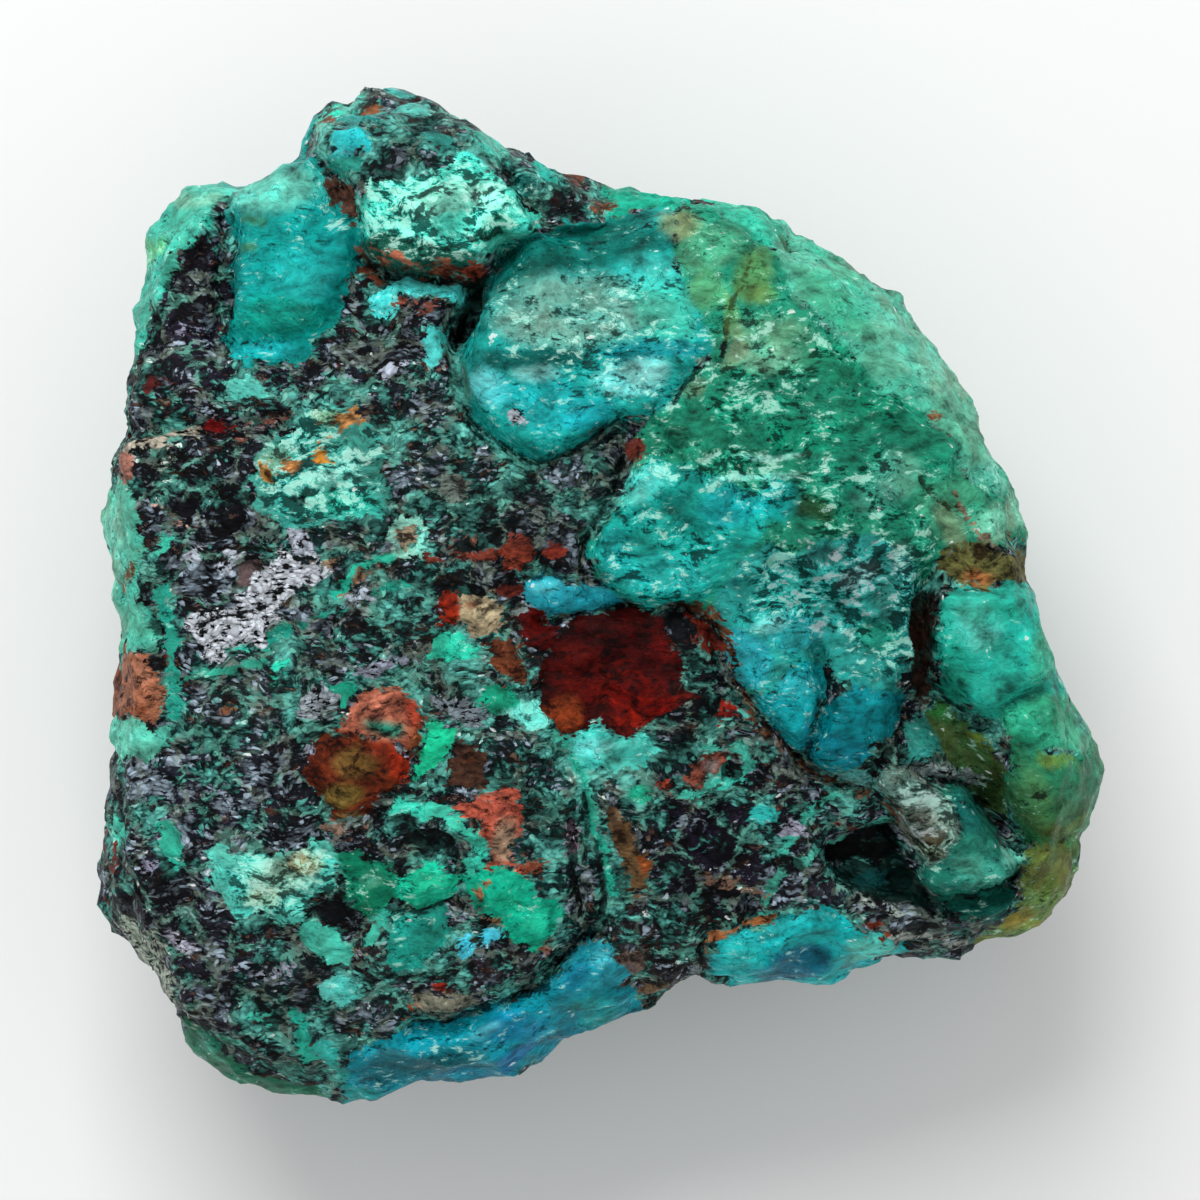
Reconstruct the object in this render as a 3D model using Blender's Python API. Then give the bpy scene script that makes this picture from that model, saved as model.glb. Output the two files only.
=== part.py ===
"""Chrysocolla specimen: one broken lump of copper ore that lies on a flat fracture face.

The stone is one piece, so it is one object. Its body is a loft through three rings: the crest, where
the top face breaks into the sides, the rim, where the stone is widest, and the edge of the flat face
that it rests on. Clasts stand up from the top face, crevices run between them, and fractures roughen
all of it. Lengths are written in millimetres, and MM turns them into Blender's metres. +Z is up, and
the origin is under the middle of the stone, on the flat face.
"""

import bmesh
import bpy
import numpy as np

MM = 0.001

# Heights of the body.
TOP_HEIGHT = 23.4
RIM_HEIGHTS = [  # direction in degrees from +X, height of the rim
    (0, 14.5), (30, 16.0), (60, 16.5), (90, 15.5), (115, 14.5), (140, 13.5), (165, 14.0),
    (190, 14.5), (215, 12.5), (240, 12.0), (260, 13.0), (285, 14.0), (310, 12.5), (335, 12.0),
]

# The rim: the stone's outline from above, anticlockwise from +X.
RIM = [
    (21.4, 0.0), (21.1, 2.8), (20.9, 4.8), (20.1, 6.4), (19.4, 8.2), (18.7, 10.2), (17.5, 12.1),
    (16.1, 13.5), (14.8, 15.1), (13.3, 16.2), (11.8, 17.1), (10.4, 17.95), (9.7, 18.1), (9.2, 18.9),
    (8.5, 19.1), (7.2, 19.95), (5.5, 20.15), (3.6, 20.0), (1.6, 20.7), (0.4, 20.75), (-0.7, 21.3),
    (-2.2, 21.4), (-3.4, 22.4), (-5.0, 22.6), (-5.6, 23.0), (-6.7, 24.05), (-7.1, 24.0), (-8.4, 24.8),
    (-9.7, 25.35), (-11.5, 25.45), (-12.6, 24.75), (-13.3, 25.05), (-14.4, 24.35), (-14.95, 23.2),
    (-15.2, 21.9), (-16.3, 21.1), (-16.9, 20.7), (-18.4, 20.8), (-18.8, 21.1), (-20.8, 20.6),
    (-21.9, 19.6), (-22.9, 18.6), (-22.8, 16.4), (-23.2, 15.1), (-23.6, 14.7), (-23.1, 12.6),
    (-23.7, 11.2), (-24.0, 9.5), (-23.9, 8.5), (-24.9, 7.0), (-24.85, 4.9), (-25.0, 4.1),
    (-24.5, 1.3), (-24.3, -0.8), (-24.5, -3.5), (-24.35, -5.8), (-24.65, -7.8), (-25.0, -11.2),
    (-25.35, -13.9), (-25.1, -15.3), (-24.6, -16.3), (-23.4, -17.7), (-22.1, -19.2), (-21.4, -21.2),
    (-20.4, -22.9), (-18.3, -24.15), (-16.5, -24.75), (-14.2, -24.75), (-13.0, -25.4),
    (-11.5, -25.35), (-9.0, -24.1), (-7.2, -24.0), (-4.0, -23.85), (-2.0, -22.3), (0.0, -21.45),
    (1.6, -20.7), (2.7, -20.6), (4.8, -19.05), (5.8, -19.45), (9.0, -19.3), (11.5, -19.3),
    (13.2, -18.6), (15.0, -18.1), (18.1, -18.2), (19.6, -17.35), (21.0, -17.0), (23.4, -15.1),
    (24.1, -13.6), (24.1, -12.0), (24.7, -11.3), (25.3, -9.2), (24.9, -7.3), (24.0, -5.7),
    (23.1, -4.3), (22.2, -2.2), (21.6, -1.3),
]

# The crest, with its height: where the top face breaks into the sides.
CREST = [
    (20.2, 3.0, 20.2), (18.6, 6.2, 20.8), (17.4, 8.2, 21.2), (15.4, 9.9, 21.7), (13.4, 11.7, 22.0),
    (11.3, 13.8, 22.0), (9.4, 15.9, 21.8), (8.0, 17.6, 21.2), (5.5, 19.2, 20.6), (2.0, 19.4, 20.2),
    (-1.0, 20.0, 20.0), (-4.0, 21.4, 20.2), (-8.0, 23.2, 20.4), (-11.5, 24.0, 20.0),
    (-13.6, 22.6, 19.4), (-16.0, 19.8, 19.0), (-19.6, 19.2, 18.6), (-21.8, 17.6, 18.2),
    (-22.0, 14.6, 19.0), (-22.8, 10.5, 19.6), (-23.4, 7.0, 19.8), (-22.7, 3.5, 20.2),
    (-22.2, 0.0, 20.4), (-22.2, -3.5, 20.2), (-22.6, -7.5, 19.8), (-23.6, -12.0, 19.0),
    (-22.8, -16.4, 18.4), (-21.0, -19.8, 17.8), (-18.6, -22.0, 17.4), (-15.2, -23.2, 17.2),
    (-11.6, -22.6, 17.4), (-8.0, -21.3, 18.2), (-4.0, -20.3, 18.8), (-1.6, -18.2, 19.2),
    (0.6, -17.2, 19.4), (3.2, -18.0, 18.8), (5.4, -17.0, 18.8), (9.8, -15.9, 18.6),
    (13.6, -16.4, 17.8), (17.2, -16.4, 17.0), (20.4, -15.4, 16.6), (22.4, -13.0, 16.6),
    (23.0, -10.6, 17.0), (23.4, -8.4, 17.6), (22.0, -5.2, 18.4), (20.7, -1.0, 19.6),
]

# The edge of the flat fracture face that the stone rests on.
SEAT = [
    (16.5, 0.0), (15.5, 7.0), (11.0, 12.5), (4.0, 15.0), (-4.0, 16.5), (-11.0, 15.5), (-17.0, 10.5),
    (-19.5, 3.0), (-19.5, -5.0), (-17.5, -12.5), (-11.5, -17.5), (-4.0, -17.0), (3.5, -14.8),
    (11.0, -13.5), (17.0, -9.5), (17.5, -4.5),
]

# Clasts on the top face: outline, how far it stands up (or is sunk), and how wide its rounded edge is.
CLASTS = {
    "mint_shoulder": dict(lift=0.6, edge=0.9, outline=[
        (-23.6, 15.9), (-24.5, 18.0), (-23.5, 20.5), (-20.5, 22.0), (-18.7, 21.6), (-19.0, 20.0),
        (-19.6, 18.4), (-20.6, 18.1), (-21.3, 16.7), (-22.2, 16.1)]),
    "barrel": dict(lift=1.1, edge=1.0, outline=[
        (-18.5, 21.6), (-15.6, 22.4), (-14.3, 22.2), (-13.3, 20.6), (-13.0, 19.4), (-12.2, 19.0),
        (-12.0, 16.8), (-12.9, 15.0), (-13.8, 13.6), (-14.8, 12.9), (-18.6, 12.9), (-18.3, 14.5),
        (-18.1, 18.0), (-18.6, 20.0)]),
    "barrel_foot": dict(lift=0.35, edge=0.5, outline=[
        (-18.7, 13.4), (-14.2, 13.4), (-15.0, 12.2), (-16.0, 11.7), (-17.3, 11.8), (-18.3, 12.2)]),
    "knob": dict(lift=1.5, edge=0.9, outline=[
        (-14.9, 22.8), (-14.3, 24.6), (-11.5, 25.8), (-9.0, 25.5), (-7.0, 24.6), (-5.6, 23.4),
        (-4.6, 21.4), (-3.9, 20.4), (-2.8, 18.4), (-4.2, 17.8), (-5.6, 16.4), (-7.2, 16.4),
        (-9.0, 16.0), (-10.4, 16.3), (-11.8, 16.9), (-11.9, 18.6), (-12.2, 19.8), (-13.2, 21.2)]),
    "grey_ridge": dict(lift=1.1, edge=0.8, outline=[
        (-5.1, 22.8), (-3.2, 22.5), (-1.2, 21.2), (0.0, 19.9), (0.5, 19.1), (-0.6, 18.8),
        (-2.9, 18.6), (-3.6, 19.6), (-4.9, 21.6)]),
    "great_lump": dict(lift=0.8, edge=0.8, outline=[
        (-5.0, 17.1), (-3.0, 18.2), (0.6, 18.95), (3.6, 19.4), (3.6, 17.0), (3.4, 16.0), (5.0, 14.2),
        (5.4, 13.2), (4.9, 11.6), (4.0, 10.1), (2.2, 9.1), (0.6, 8.7), (-1.4, 7.6), (-2.8, 7.1),
        (-4.6, 7.8), (-6.4, 9.4), (-7.1, 11.4), (-6.4, 13.4), (-5.8, 15.3)]),
    "green_face": dict(lift=0.65, edge=0.8, outline=[
        (3.7, 19.4), (7.6, 18.4), (9.2, 15.8), (11.4, 13.4), (13.8, 10.8), (16.0, 9.2), (17.9, 7.4),
        (17.2, 4.0), (16.2, 1.6), (15.4, -1.4), (14.6, -2.0), (8.0, 3.0), (5.0, 6.0), (2.4, 9.0),
        (3.4, 11.4), (4.0, 12.6), (4.0, 14.2), (2.6, 16.2), (2.6, 18.4)]),
    "teal_bank": dict(lift=0.6, edge=0.7, outline=[
        (1.6, 7.4), (3.2, 7.6), (6.0, 6.4), (9.0, 3.2), (8.2, 1.0), (6.0, 0.6), (4.6, -0.3),
        (1.8, -0.3), (0.2, 0.6), (-0.7, 2.2), (0.0, 3.8), (1.3, 5.4)]),
    "cyan_lens_left": dict(lift=0.6, edge=0.6, outline=[
        (7.8, -2.4), (9.4, -2.6), (10.8, -3.2), (11.0, -4.8), (10.6, -6.2), (10.2, -7.8),
        (8.8, -6.4), (7.6, -4.6)]),
    "cyan_lens_right": dict(lift=0.7, edge=0.7, outline=[
        (11.4, -2.6), (13.4, -2.0), (14.8, -3.4), (15.0, -5.6), (14.6, -7.4), (13.4, -9.0),
        (11.4, -8.7), (10.5, -7.8), (11.0, -6.0), (11.5, -4.4)]),
    "green_block": dict(lift=1.1, edge=0.8, outline=[
        (17.0, 0.6), (19.4, 0.5), (21.4, 0.5), (22.6, -2.0), (22.6, -3.4), (21.2, -4.8),
        (19.4, -5.9), (17.8, -5.0), (16.9, -3.2), (16.8, -1.0)]),
    "green_lobe": dict(lift=1.1, edge=1.0, outline=[
        (20.2, -5.6), (22.4, -4.4), (24.6, -5.5), (26.0, -8.0), (25.8, -11.0), (24.0, -12.4),
        (21.8, -12.0), (20.6, -10.4), (20.6, -7.9), (19.6, -6.4)]),
    "teal_block": dict(lift=1.3, edge=0.6, outline=[
        (16.6, -9.4), (18.4, -9.4), (19.5, -11.2), (20.9, -12.6), (21.1, -13.9), (18.2, -14.9),
        (17.0, -15.1), (16.1, -13.4), (17.2, -11.9)]),
    "quartz_knob": dict(lift=1.2, edge=0.7, outline=[
        (14.2, -8.5), (15.6, -8.3), (17.0, -9.4), (17.9, -10.9), (17.2, -12.4), (16.4, -13.5),
        (15.2, -11.6), (14.2, -10.0), (13.7, -9.3)]),
    "ochre_lobe": dict(lift=0.6, edge=0.8, outline=[
        (21.2, -12.4), (24.4, -12.4), (24.6, -14.5), (22.4, -16.6), (20.2, -17.4), (20.4, -15.4),
        (21.3, -13.8)]),
    "cave": dict(lift=-2.2, edge=1.0, outline=[
        (11.4, -12.0), (13.0, -11.5), (14.6, -11.0), (15.2, -12.2), (16.2, -14.2), (16.4, -15.2),
        (14.4, -15.2), (12.0, -14.2), (11.0, -13.0)]),
    "blue_foot": dict(lift=0.7, edge=0.8, outline=[
        (5.6, -16.8), (8.4, -16.5), (10.4, -15.5), (12.4, -16.2), (15.2, -17.2), (14.8, -19.0),
        (6.0, -20.5), (4.8, -19.6)]),
    "red_flat": dict(lift=-0.3, edge=0.4, outline=[
        (-2.0, -1.6), (0.8, -0.55), (3.2, -0.5), (4.2, -3.4), (5.0, -4.5), (2.8, -6.3), (1.2, -6.8),
        (-2.3, -6.2), (-3.2, -4.4), (-2.7, -2.4)]),
    "ringed_clast": dict(lift=0.4, edge=0.5, outline=[
        (-12.8, -6.2), (-11.4, -4.7), (-9.6, -4.2), (-8.6, -5.8), (-9.3, -8.2), (-11.2, -10.2),
        (-12.8, -10.9), (-15.0, -8.8), (-14.2, -7.0)]),
    "malachite_bead": dict(lift=0.5, edge=0.5, outline=[
        (-10.0, -14.2), (-8.8, -13.0), (-7.2, -13.5), (-7.4, -14.8), (-9.4, -15.0)]),
    "malachite_cake": dict(lift=0.4, edge=0.5, outline=[
        (-6.2, -14.0), (-4.0, -13.2), (-2.2, -15.2), (-2.6, -17.0), (-4.0, -16.6), (-6.0, -15.2)]),
}

EDGE_OUTSIDE = 0.3  # share of a clast's rounded edge that lies outside its outline

# Crevices in the top face: the line that each follows, its depth and its half width.
CREVICES = {
    "knob_foot": dict(depth=1.2, width=0.55, line=[
        (-12.0, 16.9), (-10.4, 16.2), (-9.0, 15.8), (-7.4, 15.9), (-5.8, 15.4)]),
    "lump_gap": dict(depth=2.4, width=0.7, line=[
        (-4.7, 17.4), (-5.6, 16.0), (-6.3, 14.8), (-7.2, 13.2)]),
    "lump_seam": dict(depth=0.8, width=0.5, line=[
        (-7.4, 12.4), (-7.0, 10.4), (-5.6, 8.6), (-4.4, 7.6), (-3.0, 6.9), (-1.4, 7.4), (0.8, 8.5)]),
    "barrel_seam": dict(depth=1.2, width=0.6, line=[
        (-18.9, 19.6), (-18.5, 18.0), (-18.4, 14.6), (-19.0, 12.8)]),
    "red_seam": dict(depth=0.7, width=0.45, line=[
        (-3.0, -1.2), (-1.0, -0.7), (3.4, -0.3), (5.0, -0.6), (6.2, -2.4), (7.0, -4.2), (8.6, -6.4),
        (10.6, -8.6), (12.4, -9.3), (13.8, -9.6), (14.8, -10.8), (16.2, -13.8), (17.0, -15.4)]),
    "face_foot": dict(depth=0.6, width=0.5, line=[
        (1.6, 8.0), (0.9, 5.2), (-0.8, 2.8), (-0.4, 0.8), (1.0, -0.2)]),
    "overhang": dict(depth=1.3, width=0.55, line=[
        (-9.4, -21.6), (-7.0, -21.1), (-5.2, -20.3), (-3.2, -19.8), (-2.0, -18.2), (-0.2, -16.7)]),
    "valley": dict(depth=2.0, width=1.1, line=[
        (16.0, -5.4), (17.6, -6.8), (18.8, -8.4), (19.6, -9.8), (21.0, -12.2)]),
    "block_seam": dict(depth=1.3, width=0.55, line=[
        (16.4, 1.2), (16.4, -2.4), (16.8, -4.6), (18.4, -5.9), (20.0, -6.4)]),
    "block_shelf": dict(depth=1.2, width=0.4, line=[(15.8, -8.9), (18.8, -9.3), (20.4, -11.8)]),
    "block_foot": dict(depth=0.9, width=0.45, line=[(17.0, -15.5), (19.0, -15.0), (21.3, -14.2)]),
    "lens_seam": dict(depth=0.9, width=0.45, line=[
        (11.0, -2.6), (11.3, -4.5), (10.9, -6.0), (10.3, -8.0)]),
    "trunk_seam": dict(depth=0.4, width=0.5, line=[
        (-2.0, -7.0), (-0.9, -8.8), (-0.6, -11.0), (-0.7, -14.0), (-1.2, -16.6)]),
    "west_seam": dict(depth=0.8, width=0.5, line=[(-24.2, 8.4), (-21.0, 8.4), (-16.6, 8.8)]),
}

# Fracture relief, coarse to fine: size of a scoop or a grain, and how deep it is.
SLABS = dict(size=12.5, depth=3.0)  # only below the rim
SCOOPS = dict(size=7.5, depth=2.0)
CHIPS = dict(size=2.8, depth=0.55)
GRAIN = dict(size=1.6, depth=0.3)
FACE_ROUGHNESS = 0.4  # share of the scoops' depth that the top face has
RIM_ROUGHNESS = 0.3  # the same at the rim, so that the outline stays as drawn
CUBE_CUTS = 87  # cuts along a cube's edge before it is blown up into the stone
TRIANGLE_SHARE = 0.1  # share of the cube's triangles that the finished stone keeps

# Where the crest, the rim and the seat's edge lie on the way from the top's middle to the bottom's.
CREST_AT = 0.40
RIM_AT = 0.53
SEAT_AT = 0.70
CREST_CROWN = 1.8  # how flat the top face is in its middle: 1 is a cone, 2 a dome
RIM_BULGE = 1.5  # how far the sides swell between crest and rim: 1 is straight
UNDER_BULGE = 1.15  # the same between rim and seat
RIM_REACH = 0.4  # share of the way under the rim that its ragged line still marks


def ring(points, angle):
    """Distance from the axis of a ring through points, in each direction."""
    x, y = np.array(points, float)[:, :2].T
    return np.interp(angle, np.arctan2(y, x), np.hypot(x, y), period=2 * np.pi)


def crest_height(angle):
    x, y, z = np.array(CREST).T
    return np.interp(angle, np.arctan2(y, x), z, period=2 * np.pi)


def rim_height(angle):
    direction, z = np.array(RIM_HEIGHTS, float).T
    return np.interp(angle, np.radians(direction), z, period=2 * np.pi)


def distance_to_line(points, x, y):
    """Distance in plan from each (x, y) to the line through points."""
    nearest = np.full(x.shape, np.inf)
    for (ax, ay), (bx, by) in zip(points[:-1], points[1:]):
        dx, dy = bx - ax, by - ay
        along = np.clip(((x - ax) * dx + (y - ay) * dy) / (dx * dx + dy * dy), 0, 1)
        nearest = np.minimum(nearest, np.hypot(x - ax - along * dx, y - ay - along * dy))
    return nearest


def depth_inside(points, x, y):
    """Distance in plan from each (x, y) to a closed outline, positive inside it."""
    closed = points + points[:1]
    inside = np.zeros(x.shape, bool)
    for (ax, ay), (bx, by) in zip(closed[:-1], closed[1:]):
        if ay != by:
            crosses = ((ay > y) != (by > y)) & (x < (bx - ax) * (y - ay) / (by - ay) + ax)
            inside ^= crosses
    return np.where(inside, 1, -1) * distance_to_line(closed, x, y)


def ease(share):
    """0 to 1 with a level start and a level end."""
    share = np.clip(share, 0, 1)
    return share * share * (3 - 2 * share)


def lattice_value(cell, seed):
    """A number from 0 to 1 for each whole-numbered lattice cell, always the same for the same cell."""
    x, y, z = (cell[:, axis].astype(np.int64) for axis in range(3))
    mixed = (x * 374761393 + y * 668265263 + z * 2147483647 + seed * 1274126177) & 0xFFFFFFFF
    mixed = ((mixed ^ (mixed >> 13)) * 1274126177) & 0xFFFFFFFF
    return ((mixed ^ (mixed >> 16)) & 0xFFFFFF) / 0xFFFFFF


def grain_noise(points, size, seed):
    """Smooth noise from -1 to 1 with lumps of the given size."""
    scaled = points / size
    cell = np.floor(scaled)
    part = ease(scaled - cell)
    total = np.zeros(len(points))
    for corner in np.ndindex(2, 2, 2):
        weight = np.prod(np.where(corner, part, 1 - part), axis=1)
        total += weight * lattice_value(cell + corner, seed)
    return 2 * total - 1


def scoop_noise(points, size, seed):
    """Shallow bowls with sharp ridges between them, as on a broken face: 0 in a bowl, 1 on a ridge."""
    scaled = points / size
    cell = np.floor(scaled)
    nearest = np.full(len(points), np.inf)
    for offset in np.ndindex(3, 3, 3):
        neighbour = cell + offset - 1
        centre = neighbour + np.stack([lattice_value(neighbour, seed + axis) for axis in range(3)], 1)
        nearest = np.minimum(nearest, ((scaled - centre) ** 2).sum(axis=1))
    return np.clip(nearest, 0, 1)


def body_points(angle, way):
    """The smooth body: points at each direction, and at each share of the way from top to bottom."""
    crest, rim, seat = ring(CREST, angle), ring(RIM, angle), ring(SEAT, angle)
    even = np.mean([ring(RIM, angle + turn) for turn in np.linspace(-0.25, 0.25, 11)], axis=0)
    crest_z, rim_z = crest_height(angle), rim_height(angle)
    face = np.clip(way / CREST_AT, 0, 1)
    side = np.clip((way - CREST_AT) / (RIM_AT - CREST_AT), 0, 1)
    under = np.clip((way - RIM_AT) / (SEAT_AT - RIM_AT), 0, 1)
    base = np.clip((way - SEAT_AT) / (1 - SEAT_AT), 0, 1)
    radius = crest * face
    radius += (even - crest) * (1 - (1 - side) ** RIM_BULGE)
    radius -= (even - seat) * under ** UNDER_BULGE
    radius -= seat * base
    radius += (rim - even) * ease(1.4 * side - 0.4) * (1 - ease(under / RIM_REACH))
    height = TOP_HEIGHT - (TOP_HEIGHT - crest_z) * face ** CREST_CROWN
    height -= (crest_z - rim_z) * side ** RIM_BULGE
    height -= rim_z * under
    return np.stack([radius * np.cos(angle), radius * np.sin(angle), height], axis=1)


def top_relief(points, way):
    """How far clasts and crevices raise or sink the top, fading out down the sides."""
    x, y = points[:, 0], points[:, 1]
    raised = np.zeros(len(points))
    sunk = np.zeros(len(points))
    for clast in CLASTS.values():
        inside = depth_inside(clast["outline"], x, y) / clast["edge"] + EDGE_OUTSIDE
        lift = clast["lift"] * ease(inside)
        raised = np.maximum(raised, lift)
        sunk = np.minimum(sunk, lift)
    relief = raised + sunk
    for crevice in CREVICES.values():
        off = distance_to_line(crevice["line"], x, y) / crevice["width"]
        relief -= crevice["depth"] * np.exp(-off * off)
    down = np.clip((way - CREST_AT) / (RIM_AT - CREST_AT), 0, 1)
    return relief * (1 - down ** 2)


def stone_points(directions):
    """Moves points of a unit sphere to the stone's surface."""
    angle = np.arctan2(directions[:, 1], directions[:, 0])
    way = np.arccos(np.clip(directions[:, 2], -1, 1)) / np.pi
    points = body_points(angle, way)
    outward = points - [0, 0, TOP_HEIGHT / 2]
    outward /= np.linalg.norm(outward, axis=1)[:, None]
    places = [0, CREST_AT, RIM_AT, RIM_AT + 0.04, 1]
    shares = [FACE_ROUGHNESS, FACE_ROUGHNESS, RIM_ROUGHNESS, 1, 1]
    coarse = SCOOPS["depth"] * (scoop_noise(points, SCOOPS["size"], 11) - 0.5)
    coarse *= np.interp(way, places, shares)
    slabs = SLABS["depth"] * (scoop_noise(points, SLABS["size"], 19) - 0.45)
    coarse += slabs * np.interp(way, [RIM_AT, RIM_AT + 0.05, SEAT_AT, 1], [0, 1, 0.6, 0])
    fine = CHIPS["depth"] * (scoop_noise(points, CHIPS["size"], 23) - 0.5)
    fine += GRAIN["depth"] * grain_noise(points, GRAIN["size"], 37)
    relief = top_relief(points, way)
    points += outward * (coarse + fine)[:, None]
    points[:, 2] += relief
    points[way >= SEAT_AT, 2] = 0
    points[:, 2] = np.maximum(points[:, 2], 0)
    return points


def stone_material():
    material = bpy.data.materials.new("chrysocolla")
    material.use_nodes = True
    shader = material.node_tree.nodes["Principled BSDF"]
    shader.inputs["Base Color"].default_value = (0.03, 0.22, 0.19, 1)
    shader.inputs["Roughness"].default_value = 0.55
    shader.inputs["Metallic"].default_value = 0
    return material


def build_stone(collection):
    """A cube cut into a grid, blown up into a sphere, then moved out to the stone's surface."""
    shape = bmesh.new()
    bmesh.ops.create_cube(shape, size=2)
    bmesh.ops.subdivide_edges(shape, edges=shape.edges[:], cuts=CUBE_CUTS, use_grid_fill=True)
    bmesh.ops.triangulate(shape, faces=shape.faces[:])
    mesh = bpy.data.meshes.new("stone")
    shape.to_mesh(mesh)
    shape.free()
    corners = np.empty(len(mesh.vertices) * 3)
    mesh.vertices.foreach_get("co", corners)
    directions = np.tan(corners.reshape(-1, 3) * np.pi / 4)
    directions /= np.linalg.norm(directions, axis=1)[:, None]
    mesh.vertices.foreach_set("co", (stone_points(directions) * MM).ravel())
    mesh.materials.append(stone_material())
    mesh.shade_smooth()
    stone = bpy.data.objects.new("stone", mesh)
    collection.objects.link(stone)
    thin = stone.modifiers.new("Fewer faces where it is flat", "DECIMATE")
    thin.ratio = TRIANGLE_SHARE
    return stone


def main():
    for old in list(bpy.data.objects):
        bpy.data.objects.remove(old)
    collection = bpy.data.collections.new("Chrysocolla specimen")
    bpy.context.scene.collection.children.link(collection)
    build_stone(collection)


main()
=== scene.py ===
import math

import bpy
import numpy as np
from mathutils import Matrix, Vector


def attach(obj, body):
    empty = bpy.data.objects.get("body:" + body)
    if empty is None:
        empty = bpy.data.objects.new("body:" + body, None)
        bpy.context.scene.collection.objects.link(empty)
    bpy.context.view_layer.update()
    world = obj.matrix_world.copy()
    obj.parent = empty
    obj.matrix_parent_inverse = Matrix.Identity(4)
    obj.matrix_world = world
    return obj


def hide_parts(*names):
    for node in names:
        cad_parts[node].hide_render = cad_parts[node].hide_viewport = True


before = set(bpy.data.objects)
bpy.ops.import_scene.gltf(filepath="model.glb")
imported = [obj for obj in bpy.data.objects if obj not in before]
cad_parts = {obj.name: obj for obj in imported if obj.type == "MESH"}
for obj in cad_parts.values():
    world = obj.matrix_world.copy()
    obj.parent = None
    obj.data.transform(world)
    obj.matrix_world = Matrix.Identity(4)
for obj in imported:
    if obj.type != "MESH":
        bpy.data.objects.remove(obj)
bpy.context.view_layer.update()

# Chrysocolla specimen: one broken stone, its clasts and crevices modelled in the mesh and its
# minerals painted on as attributes that one material reads. All lengths are in millimetres.

mm = 0.001

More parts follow.
